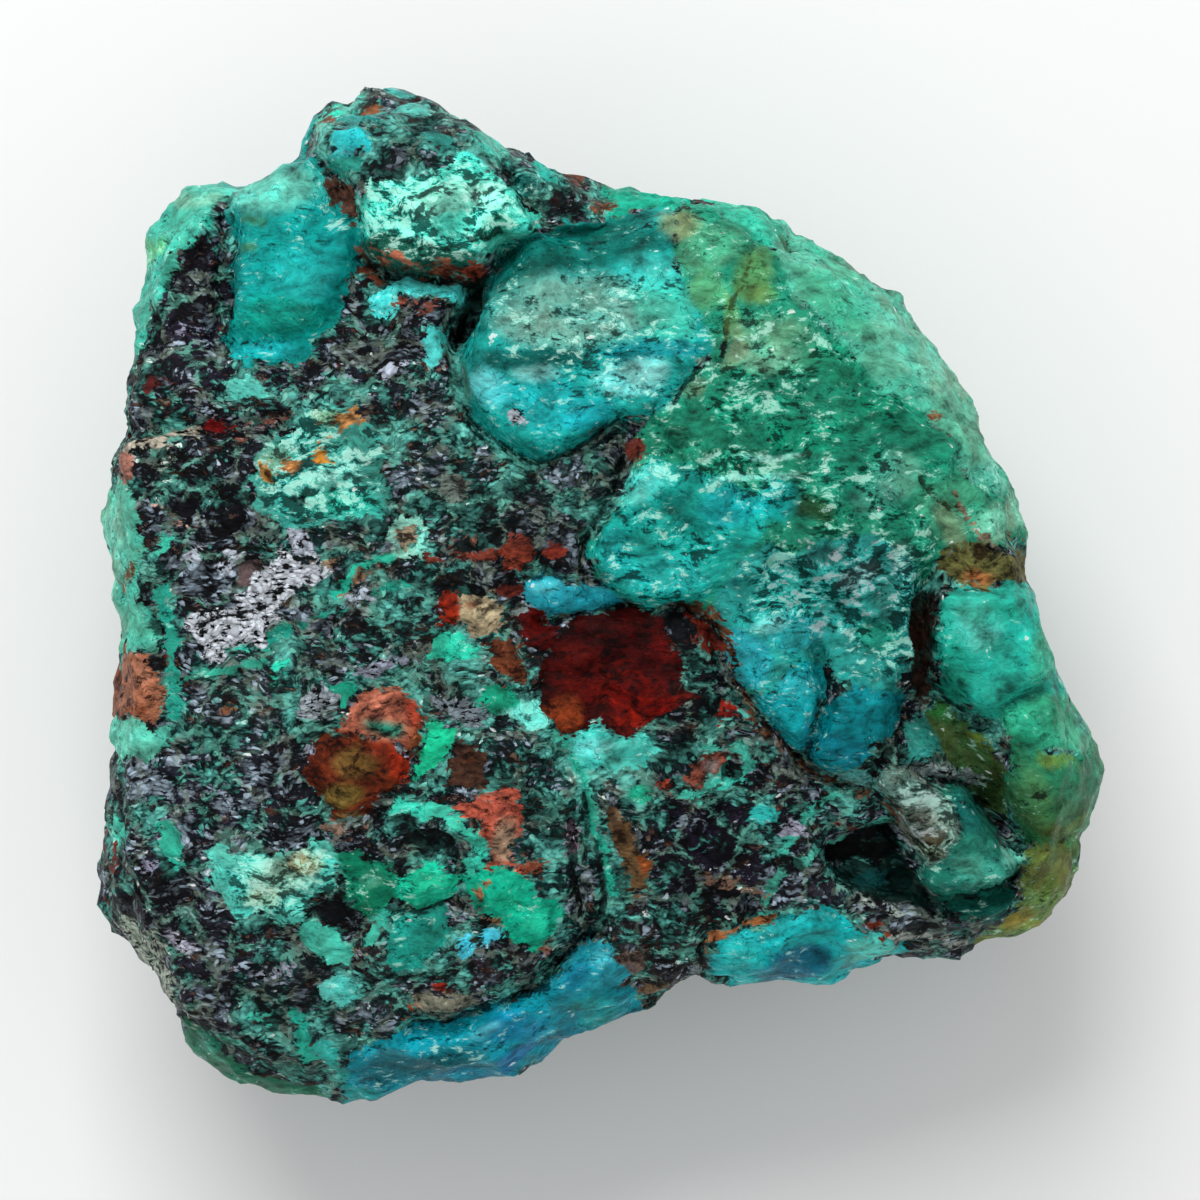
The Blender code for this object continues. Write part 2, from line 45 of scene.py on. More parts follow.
body = {
    "topHeight": 23.4,
    "topAt": 0,  # marks on the way from the top's middle to the bottom's
    "crestAt": 0.40,
    "rimAt": 0.53,
    "seatAt": 0.70,
    "bottomAt": 1,
    "crown": 1.8,  # how flat the top face is: 1 is a cone, 2 a dome
    "bulge": 1.5,  # how far the sides swell between crest and rim: 1 is straight
    "underBulge": 1.15,  # the same between rim and seat
    "rimReach": 0.4,  # share of the way under the rim that its ragged line still marks
    "evening": 0.25,  # radians to each side over which the evened rim is averaged
    "rimHeights": [  # direction in degrees, height of the widest line
        (0, 14.5), (30, 16), (60, 16.5), (90, 15.5), (115, 14.5), (140, 13.5), (165, 14), (190, 14.5),
        (215, 12.5), (240, 12), (260, 13), (285, 14), (310, 12.5), (335, 12),
    ],
    "rim": [  # outline from above
        (21.4, 0), (21.1, 2.8), (20.9, 4.8), (20.1, 6.4), (19.4, 8.2), (18.7, 10.2), (17.5, 12.1),
        (16.1, 13.5), (14.8, 15.1), (13.3, 16.2), (11.8, 17.1), (10.4, 17.95), (9.7, 18.1), (9.2, 18.9),
        (8.5, 19.1), (7.2, 19.95), (5.5, 20.15), (3.6, 20), (1.6, 20.7), (0.4, 20.75), (-0.7, 21.3),
        (-2.2, 21.4), (-3.4, 22.4), (-5, 22.6), (-5.6, 23), (-6.7, 24.05), (-7.1, 24), (-8.4, 24.8),
        (-9.7, 25.35), (-11.5, 25.45), (-12.6, 24.75), (-13.3, 25.05), (-14.4, 24.35), (-14.95, 23.2),
        (-15.2, 21.9), (-16.3, 21.1), (-16.9, 20.7), (-18.4, 20.8), (-18.8, 21.1), (-20.8, 20.6),
        (-21.9, 19.6), (-22.9, 18.6), (-22.8, 16.4), (-23.2, 15.1), (-23.6, 14.7), (-23.1, 12.6),
        (-23.7, 11.2), (-24, 9.5), (-23.9, 8.5), (-24.9, 7), (-24.85, 4.9), (-25, 4.1), (-24.5, 1.3),
        (-24.3, -0.8), (-24.5, -3.5), (-24.35, -5.8), (-24.65, -7.8), (-25, -11.2), (-25.35, -13.9),
        (-25.1, -15.3), (-24.6, -16.3), (-23.4, -17.7), (-22.1, -19.2), (-21.4, -21.2), (-20.4, -22.9),
        (-18.3, -24.15), (-16.5, -24.75), (-14.2, -24.75), (-13, -25.4), (-11.5, -25.35), (-9, -24.1),
        (-7.2, -24), (-4, -23.85), (-2, -22.3), (0, -21.45), (1.6, -20.7), (2.7, -20.6), (4.8, -19.05),
        (5.8, -19.45), (9, -19.3), (11.5, -19.3), (13.2, -18.6), (15, -18.1), (18.1, -18.2), (19.6, -17.35),
        (21, -17), (23.4, -15.1), (24.1, -13.6), (24.1, -12), (24.7, -11.3), (25.3, -9.2), (24.9, -7.3),
        (24, -5.7), (23.1, -4.3), (22.2, -2.2), (21.6, -1.3),
    ],
    "crest": [  # where the top face breaks into the sides, with its height
        (20.2, 3, 20.2), (18.6, 6.2, 20.8), (17.4, 8.2, 21.2), (15.4, 9.9, 21.7), (13.4, 11.7, 22),
        (11.3, 13.8, 22), (9.4, 15.9, 21.8), (8, 17.6, 21.2), (5.5, 19.2, 20.6), (2, 19.4, 20.2),
        (-1, 20, 20), (-4, 21.4, 20.2), (-8, 23.2, 20.4), (-11.5, 24, 20), (-13.6, 22.6, 19.4),
        (-16, 19.8, 19), (-19.6, 19.2, 18.6), (-21.8, 17.6, 18.2), (-22, 14.6, 19), (-22.8, 10.5, 19.6),
        (-23.4, 7, 19.8), (-22.7, 3.5, 20.2), (-22.2, 0, 20.4), (-22.2, -3.5, 20.2), (-22.6, -7.5, 19.8),
        (-23.6, -12, 19), (-22.8, -16.4, 18.4), (-21, -19.8, 17.8), (-18.6, -22, 17.4),
        (-15.2, -23.2, 17.2), (-11.6, -22.6, 17.4), (-8, -21.3, 18.2), (-4, -20.3, 18.8),
        (-1.6, -18.2, 19.2), (0.6, -17.2, 19.4), (3.2, -18, 18.8), (5.4, -17, 18.8), (9.8, -15.9, 18.6),
        (13.6, -16.4, 17.8), (17.2, -16.4, 17), (20.4, -15.4, 16.6), (22.4, -13, 16.6), (23, -10.6, 17),
        (23.4, -8.4, 17.6), (22, -5.2, 18.4), (20.7, -1, 19.6),
    ],
    "seat": [  # edge of the face that the stone rests on
        (16.5, 0), (15.5, 7), (11, 12.5), (4, 15), (-4, 16.5), (-11, 15.5), (-17, 10.5), (-19.5, 3),
        (-19.5, -5), (-17.5, -12.5), (-11.5, -17.5), (-4, -17), (3.5, -14.8), (11, -13.5), (17, -9.5),
        (17.5, -4.5),
    ],
    "slabs": (12.5, 3.0, 19),  # size, depth and seed of the sides' widest bowls, below the rim
    "scoops": (7.5, 2.0, 11),  # the same for the broken faces' bowls
    "chips": (2.8, 0.55, 23),
    "grain": (1.6, 0.3, 37),
    "faceRoughness": 0.4,  # share of the scoops' depth on the top face
    "rimRoughness": 0.3,  # and at the widest line
}

grid = {
    "patchSteps": 150,  # cells along the middle patch, a multiple of 8
    "patchTo": 0.25,  # share of the way that the middle patch covers
    "sideRows": 76,
    "underRows": 34,
    "seatRows": [(600, 0.725), (300, 0.76), (300, 0.80), (150, 0.85), (150, 0.90), (75, 0.95)],
}

# Clasts of the top face: how far each stands up or is sunk, how wide its rounded edge is, outline.
clasts = {
    "mintShoulder": (0.6, 0.9, [(-23.6, 15.9), (-24.5, 18), (-23.5, 20.5), (-20.5, 22), (-18.7, 21.6),
        (-19, 20), (-19.6, 18.4), (-20.6, 18.1), (-21.3, 16.7), (-22.2, 16.1)]),
    "barrel": (1.1, 1, [(-18.5, 21.6), (-15.6, 22.4), (-14.3, 22.2), (-13.3, 20.6), (-13, 19.4),
        (-12.2, 19), (-12, 16.8), (-12.9, 15), (-13.8, 13.6), (-14.8, 12.9), (-18.6, 12.9), (-18.3, 14.5),
        (-18.1, 18), (-18.6, 20)]),
    "barrelFoot": (0.35, 0.5, [(-18.7, 13.4), (-14.2, 13.4), (-15, 12.2), (-16, 11.7), (-17.3, 11.8),
        (-18.3, 12.2)]),
    "knob": (1.5, 0.9, [(-14.9, 22.8), (-14.3, 24.6), (-11.5, 25.8), (-9, 25.5), (-7, 24.6), (-5.6, 23.4),
        (-4.6, 21.4), (-3.9, 20.4), (-2.8, 18.4), (-4.2, 17.8), (-5.6, 16.4), (-7.2, 16.4), (-9, 16),
        (-10.4, 16.3), (-11.8, 16.9), (-11.9, 18.6), (-12.2, 19.8), (-13.2, 21.2)]),
    "greyRidge": (1.1, 0.8, [(-5.1, 22.8), (-3.2, 22.5), (-1.2, 21.2), (0, 19.9), (0.5, 19.1),
        (-0.6, 18.8), (-2.9, 18.6), (-3.6, 19.6), (-4.9, 21.6)]),
    "greatLump": (0.8, 0.8, [(-5, 17.1), (-3, 18.2), (0.6, 18.95), (3.6, 19.4), (3.6, 17), (3.4, 16),
        (5, 14.2), (5.4, 13.2), (4.9, 11.6), (4, 10.1), (2.2, 9.1), (0.6, 8.7), (-1.4, 7.6), (-2.8, 7.1),
        (-4.6, 7.8), (-6.4, 9.4), (-7.1, 11.4), (-6.4, 13.4), (-5.8, 15.3)]),
    "greenFace": (0.65, 0.8, [(3.7, 19.4), (7.6, 18.4), (9.2, 15.8), (11.4, 13.4), (13.8, 10.8), (16, 9.2),
        (17.9, 7.4), (17.2, 4), (16.2, 1.6), (15.4, -1.4), (14.6, -2), (8, 3), (5, 6), (2.4, 9),
        (3.4, 11.4), (4, 12.6), (4, 14.2), (2.6, 16.2), (2.6, 18.4)]),
    "tealBank": (0.6, 0.7, [(1.6, 7.4), (3.2, 7.6), (6, 6.4), (9, 3.2), (8.2, 1), (6, 0.6), (4.6, -0.3),
        (1.8, -0.3), (0.2, 0.6), (-0.7, 2.2), (0, 3.8), (1.3, 5.4)]),
    "cyanLensLeft": (0.6, 0.6, [(7.8, -2.4), (9.4, -2.6), (10.8, -3.2), (11, -4.8), (10.6, -6.2),
        (10.2, -7.8), (8.8, -6.4), (7.6, -4.6)]),
    "cyanLensRight": (0.7, 0.7, [(11.4, -2.6), (13.4, -2), (14.8, -3.4), (15, -5.6), (14.6, -7.4),
        (13.4, -9), (11.4, -8.7), (10.5, -7.8), (11, -6), (11.5, -4.4)]),
    "greenBlock": (1.1, 0.8, [(17, 0.6), (19.4, 0.5), (21.4, 0.5), (22.6, -2), (22.6, -3.4), (21.2, -4.8),
        (19.4, -5.9), (17.8, -5), (16.9, -3.2), (16.8, -1)]),
    "greenLobe": (1.1, 1, [(20.2, -5.6), (22.4, -4.4), (24.6, -5.5), (26, -8), (25.8, -11), (24, -12.4),
        (21.8, -12), (20.6, -10.4), (20.6, -7.9), (19.6, -6.4)]),
    "tealBlock": (1.3, 0.6, [(16.6, -9.4), (18.4, -9.4), (19.5, -11.2), (20.9, -12.6), (21.1, -13.9),
        (18.2, -14.9), (17, -15.1), (16.1, -13.4), (17.2, -11.9)]),
    "quartzKnob": (1.2, 0.7, [(14.2, -8.5), (15.6, -8.3), (17, -9.4), (17.9, -10.9), (17.2, -12.4),
        (16.4, -13.5), (15.2, -11.6), (14.2, -10), (13.7, -9.3)]),
    "ochreLobe": (0.6, 0.8, [(21.2, -12.4), (24.4, -12.4), (24.6, -14.5), (22.4, -16.6), (20.2, -17.4),
        (20.4, -15.4), (21.3, -13.8)]),
    "cave": (-2.2, 1, [(11.4, -12), (13, -11.5), (14.6, -11), (15.2, -12.2), (16.2, -14.2), (16.4, -15.2),
        (14.4, -15.2), (12, -14.2), (11, -13)]),
    "blueFoot": (0.7, 0.8, [(5.6, -16.8), (8.4, -16.5), (10.4, -15.5), (12.4, -16.2), (15.2, -17.2),
        (14.8, -19), (6, -20.5), (4.8, -19.6)]),
    "redFlat": (-0.3, 0.4, [(-2, -1.6), (0.8, -0.55), (3.2, -0.5), (4.2, -3.4), (5, -4.5), (2.8, -6.3),
        (1.2, -6.8), (-2.3, -6.2), (-3.2, -4.4), (-2.7, -2.4)]),
    "ringedClast": (0.4, 0.5, [(-12.8, -6.2), (-11.4, -4.7), (-9.6, -4.2), (-8.6, -5.8), (-9.3, -8.2),
        (-11.2, -10.2), (-12.8, -10.9), (-15, -8.8), (-14.2, -7)]),
    "malachiteBead": (0.5, 0.5, [(-10, -14.2), (-8.8, -13), (-7.2, -13.5), (-7.4, -14.8), (-9.4, -15)]),
    "malachiteCake": (0.4, 0.5, [(-6.2, -14), (-4, -13.2), (-2.2, -15.2), (-2.6, -17), (-4, -16.6),
        (-6, -15.2)]),
}
edgeOutside = 0.3  # share of a clast's rounded edge that lies outside its outline

# Crevices: depth, half width, line.
crevices = {
    "knobFoot": (1.2, 0.55, [(-12, 16.9), (-10.4, 16.2), (-9, 15.8), (-7.4, 15.9), (-5.8, 15.4)]),
    "lumpGap": (2.4, 0.7, [(-4.7, 17.4), (-5.6, 16), (-6.3, 14.8), (-7.2, 13.2)]),
    "lumpSeam": (0.8, 0.5, [(-7.4, 12.4), (-7, 10.4), (-5.6, 8.6), (-4.4, 7.6), (-3, 6.9), (-1.4, 7.4),
        (0.8, 8.5)]),
    "barrelSeam": (1.2, 0.6, [(-18.9, 19.6), (-18.5, 18), (-18.4, 14.6), (-19, 12.8)]),
    "redSeam": (0.7, 0.45, [(-3, -1.2), (-1, -0.7), (3.4, -0.3), (5, -0.6), (6.2, -2.4), (7, -4.2),
        (8.6, -6.4), (10.6, -8.6), (12.4, -9.3), (13.8, -9.6), (14.8, -10.8), (16.2, -13.8), (17, -15.4)]),
    "faceFoot": (0.6, 0.5, [(1.6, 8), (0.9, 5.2), (-0.8, 2.8), (-0.4, 0.8), (1, -0.2)]),
    "overhang": (1.3, 0.55, [(-9.4, -21.6), (-7, -21.1), (-5.2, -20.3), (-3.2, -19.8), (-2, -18.2),
        (-0.2, -16.7)]),
    "valley": (2, 1.1, [(16, -5.4), (17.6, -6.8), (18.8, -8.4), (19.6, -9.8), (21, -12.2)]),
    "blockSeam": (1.3, 0.55, [(16.4, 1.2), (16.4, -2.4), (16.8, -4.6), (18.4, -5.9), (20, -6.4)]),
    "blockShelf": (1.2, 0.4, [(15.8, -8.9), (18.8, -9.3), (20.4, -11.8)]),
    "blockFoot": (0.9, 0.45, [(17, -15.5), (19, -15), (21.3, -14.2)]),
    "lensSeam": (0.9, 0.45, [(11, -2.6), (11.3, -4.5), (10.9, -6), (10.3, -8)]),
    "trunkSeam": (0.4, 0.5, [(-2, -7), (-0.9, -8.8), (-0.6, -11), (-0.7, -14), (-1.2, -16.6)]),
    "westSeam": (0.8, 0.5, [(-24.2, 8.4), (-21, 8.4), (-16.6, 8.8)]),
}


def ease(share):
    # 0 to 1 with a level start and a level end: 3 s^2 - 2 s^3
    share = np.clip(share, 0, 1)
    return share * share * (3 - 2 * share)


def lineDistance(line, x, y):
    # shortest distance in plan from each point to the line's stretches
    nearest = np.full(x.shape, 1e9)
    for (ax, ay), (bx, by) in zip(line[:-1], line[1:]):
        dx, dy = bx - ax, by - ay
        along = np.clip(((x - ax) * dx + (y - ay) * dy) / (dx * dx + dy * dy + 1e-12), 0, 1)
        nearest = np.minimum(nearest, np.hypot(x - ax - along * dx, y - ay - along * dy))
    return nearest


def outlineDepth(outline, x, y):
    # distance in plan to a closed outline, positive inside: an even-odd count gives the sign
    closed = outline + outline[:1]
    inside = np.zeros(x.shape, bool)
    for (ax, ay), (bx, by) in zip(closed[:-1], closed[1:]):
        if ay != by:
            inside ^= ((ay > y) != (by > y)) & (x < (bx - ax) * (y - ay) / (by - ay) + ax)
    return np.where(inside, 1, -1) * lineDistance(closed, x, y)


def latticeValue(cell, seed):
    # a fixed number from 0 to 1 for each whole-numbered cell: its coordinates and the seed times
    # large odd numbers, summed and folded into each other bit by bit
    x, y, z = (cell[:, axis].astype(np.int64) for axis in range(3))
    mixed = (x * 374761393 + y * 668265263 + z * 2147483647 + seed * 1274126177) & 0xFFFFFFFF
    mixed = ((mixed ^ (mixed >> 13)) * 1274126177) & 0xFFFFFFFF
    return ((mixed ^ (mixed >> 16)) & 0xFFFFFF) / 0xFFFFFF


def latticeValues(cell, seed, count=3):
    # the same for neighbouring seeds, one column each
    return np.stack([latticeValue(cell, seed + step) for step in range(count)], axis=1)


def grainNoise(points, size, seed):
    # smooth noise from -1 to 1: each cell's eight corner values, eased into each other
    scaled = points / size
    cell = np.floor(scaled)
    part = ease(scaled - cell)
    total = np.zeros(len(points))
    for corner in np.ndindex(2, 2, 2):
        weight = np.prod(np.where(corner, part, 1 - part), axis=1)
        total += weight * latticeValue(cell + corner, seed)
    return 2 * total - 1


def grainNoises(points, size, seed, count):
    # the same for neighbouring seeds, one column each
    return np.stack([grainNoise(points, size, seed + step) for step in range(count)], axis=1)


def nearestCell(points, size, seed):
    # for each point, the squared distance to the nearest scattered centre, that centre's cell and
    # the way from the centre to the point
    scaled = points / size
    cell = np.floor(scaled)
    nearest = np.full(len(points), 1e9)
    owner = cell.copy()
    offset = np.zeros(points.shape)
    for step in np.ndindex(3, 3, 3):
        neighbour = cell + step - 1
        away = scaled - (neighbour + latticeValues(neighbour, seed))
        distance = (away ** 2).sum(axis=1)
        closer = distance < nearest
        nearest = np.where(closer, distance, nearest)
        owner[closer] = neighbour[closer]
        offset[closer] = away[closer]
    return nearest, owner, offset


def scoopNoise(points, size, seed):
    # shallow bowls with sharp ridges between them: 0 in a bowl, 1 on a ridge
    return np.clip(nearestCell(points, size, seed)[0], 0, 1)


def facetNoise(points, size, seed):
    # small flat facets: each cell's own tilted plane plus its own step, about -1 to 1
    _, owner, offset = nearestCell(points, size, seed)
    tilt = latticeValues(owner, seed + 7) - 0.5
    return 2 * (offset * tilt).sum(axis=1) + (latticeValue(owner, seed + 17) - 0.5)


def ring(outline, angle):
    # distance from the upright axis of a ring of points, in each direction
    x, y = np.array(outline, float)[:, :2].T
    return np.interp(angle, np.arctan2(y, x), np.hypot(x, y), period=2 * np.pi)


def wayShare(way, first, last):
    # how far the way has gone between two of the body's marks: 0 at the first, 1 at the last
    return (way - body[first]) / (body[last] - body[first])


def bodyPoints(angle, way):
    # the smooth body: a loft from the top's middle over crest, rim and seat to the bottom's middle. The
    # radius runs from mark to mark by powers of the share between them, and so does the height. The
    # rim's raggedness is laid on an evened rim and fades above and below it
    crest, rim, seat = (ring(body[name], angle) for name in ("crest", "rim", "seat"))
    cx, cy, cz = np.array(body["crest"]).T
    crestZ = np.interp(angle, np.arctan2(cy, cx), cz, period=2 * np.pi)
    direction, height = np.array(body["rimHeights"], float).T
    rimZ = np.interp(angle, np.radians(direction), height, period=2 * np.pi)
    marks = ("topAt", "crestAt", "rimAt", "seatAt", "bottomAt")
    face, side, under, base = (
        np.clip(wayShare(way, *pair), 0, 1) for pair in zip(marks[:-1], marks[1:]))
    turns = np.linspace(-body["evening"], body["evening"], 11)
    even = np.mean([ring(body["rim"], angle + turn) for turn in turns], axis=0)
    radius = crest * face + (even - crest) * (1 - (1 - side) ** body["bulge"])
    radius -= (even - seat) * under ** body["underBulge"] + seat * base
    radius += (rim - even) * ease(1.4 * side - 0.4) * (1 - ease(under / body["rimReach"]))
    z = body["topHeight"] - (body["topHeight"] - crestZ) * face ** body["crown"]
    z -= (crestZ - rimZ) * side ** body["bulge"] + rimZ * under
    return np.stack([radius * np.cos(angle), radius * np.sin(angle), z], axis=1)


def gridPlaces():
    # angle and way of each grid point, and the faces: a square patch wrapped on a disc so that its
    # outer ring has evenly spaced angles, then rings of as many points down the sides, then rings
    # that halve twice towards the bottom's middle
    n = grid["patchSteps"]
    line = np.linspace(-1, 1, n + 1)
    u, v = (side.ravel() for side in np.meshgrid(line, line))
    reach = np.maximum(np.abs(u), np.abs(v))
    safeU, safeV = np.where(u == 0, 1, u), np.where(v == 0, 1, v)
    acrossU = np.where(u > 0, 0, np.pi) + np.pi / 4 * v / safeU
    acrossV = np.where(v > 0, np.pi / 2, -np.pi / 2) - np.pi / 4 * u / safeV
    angle = np.where(np.abs(u) >= np.abs(v), acrossU, acrossV)
    way = reach * grid["patchTo"]
    index = np.arange((n + 1) ** 2).reshape(n + 1, n + 1)
    faces = np.stack([index[:-1, :-1], index[:-1, 1:], index[1:, 1:], index[1:, :-1]], -1)
    faces = faces.reshape(-1, 4).tolist()
    upper = np.concatenate([index[:-1, -1], index[-1, :0:-1], index[:0:-1, 0], index[0, :-1]])
    ringAngle = angle[upper]
    ways = list(np.linspace(grid["patchTo"], body["rimAt"], grid["sideRows"] + 1)[1:])
    ways += list(np.linspace(body["rimAt"], body["seatAt"], grid["underRows"] + 1)[1:])
    rings = [(4 * n, place) for place in ways] + grid["seatRows"]
    angles, places, start = [angle], [way], len(way)
    for count, place in rings:
        if count < len(upper):
            ringAngle = ringAngle[::2]
        lower = start + np.arange(count)
        nextLower, nextUpper = np.roll(lower, -1), np.roll(upper, -1)
        if count == len(upper):
            faces += np.stack([lower, nextLower, nextUpper, upper], 1).tolist()
        else:
            middle, far = upper[1::2], nextUpper[1::2]
            faces += np.stack([lower, nextLower, middle], 1).tolist()
            faces += np.stack([lower, middle, upper[::2]], 1).tolist()
            faces += np.stack([nextLower, far, middle], 1).tolist()
        angles.append(ringAngle)
        places.append(np.full(count, place))
        upper, start = lower, start + count
    pole = np.full(len(upper), start)
    faces += np.stack([pole, np.roll(upper, -1), upper], 1).tolist()
    angle = np.concatenate(angles + [np.zeros(1)])
    way = np.concatenate(places + [np.ones(1)])
    return angle, way, faces


def mainRelief(points, way):
    # clasts raised or sunk by their eased depth inside the outline, less the crevices' bell curves
    # exp(-(distance / half width)^2), all fading down the sides with the square of the share
    x, y = points[:, 0], points[:, 1]
    raised, sunk = np.zeros(len(points)), np.zeros(len(points))
    for lift, edge, outline in clasts.values():
        height = lift * ease(outlineDepth(outline, x, y) / edge + edgeOutside)
        raised, sunk = np.maximum(raised, height), np.minimum(sunk, height)
    relief = raised + sunk
    for depth, width, line in crevices.values():
        relief -= depth * np.exp(-(lineDistance(line, x, y) / width) ** 2)
    return relief * (1 - np.clip(wayShare(way, "crestAt", "rimAt"), 0, 1) ** 2)


def outwardFrom(points):
    # unit directions away from the middle of the stone
    outward = points - [0, 0, body["topHeight"] / 2]
    return outward / np.linalg.norm(outward, axis=1)[:, None]


def stonePoints(angle, way):
    # the smooth body pushed outwards by bowls, chips and grain, each its depth times its noise, and then
    # raised by the main relief; what lies past the seat's edge is flat
    points = bodyPoints(angle, way)
    outward = outwardFrom(points)
    rimAt, seatAt = body["rimAt"], body["seatAt"]
    face, rim = body["faceRoughness"], body["rimRoughness"]
    rough = np.interp(way, [0, body["crestAt"], rimAt, rimAt + 0.04, 1], [face, face, rim, 1, 1])
    wide = np.interp(way, [rimAt, rimAt + 0.05, seatAt, 1], [0, 1, 0.6, 0])
    size, depth, seed = body["scoops"]
    push = depth * (scoopNoise(points, size, seed) - 0.5) * rough
    size, depth, seed = body["slabs"]
    push += depth * (scoopNoise(points, size, seed) - 0.45) * wide
    size, depth, seed = body["chips"]
    push += depth * (scoopNoise(points, size, seed) - 0.5)
    size, depth, seed = body["grain"]
    push += depth * grainNoise(points, size, seed)
    relief = mainRelief(points, way)
    points += outward * push[:, None]
    points[:, 2] += relief
    points[way >= seatAt, 2] = 0
    points[:, 2] = np.maximum(points[:, 2], 0)
    return points


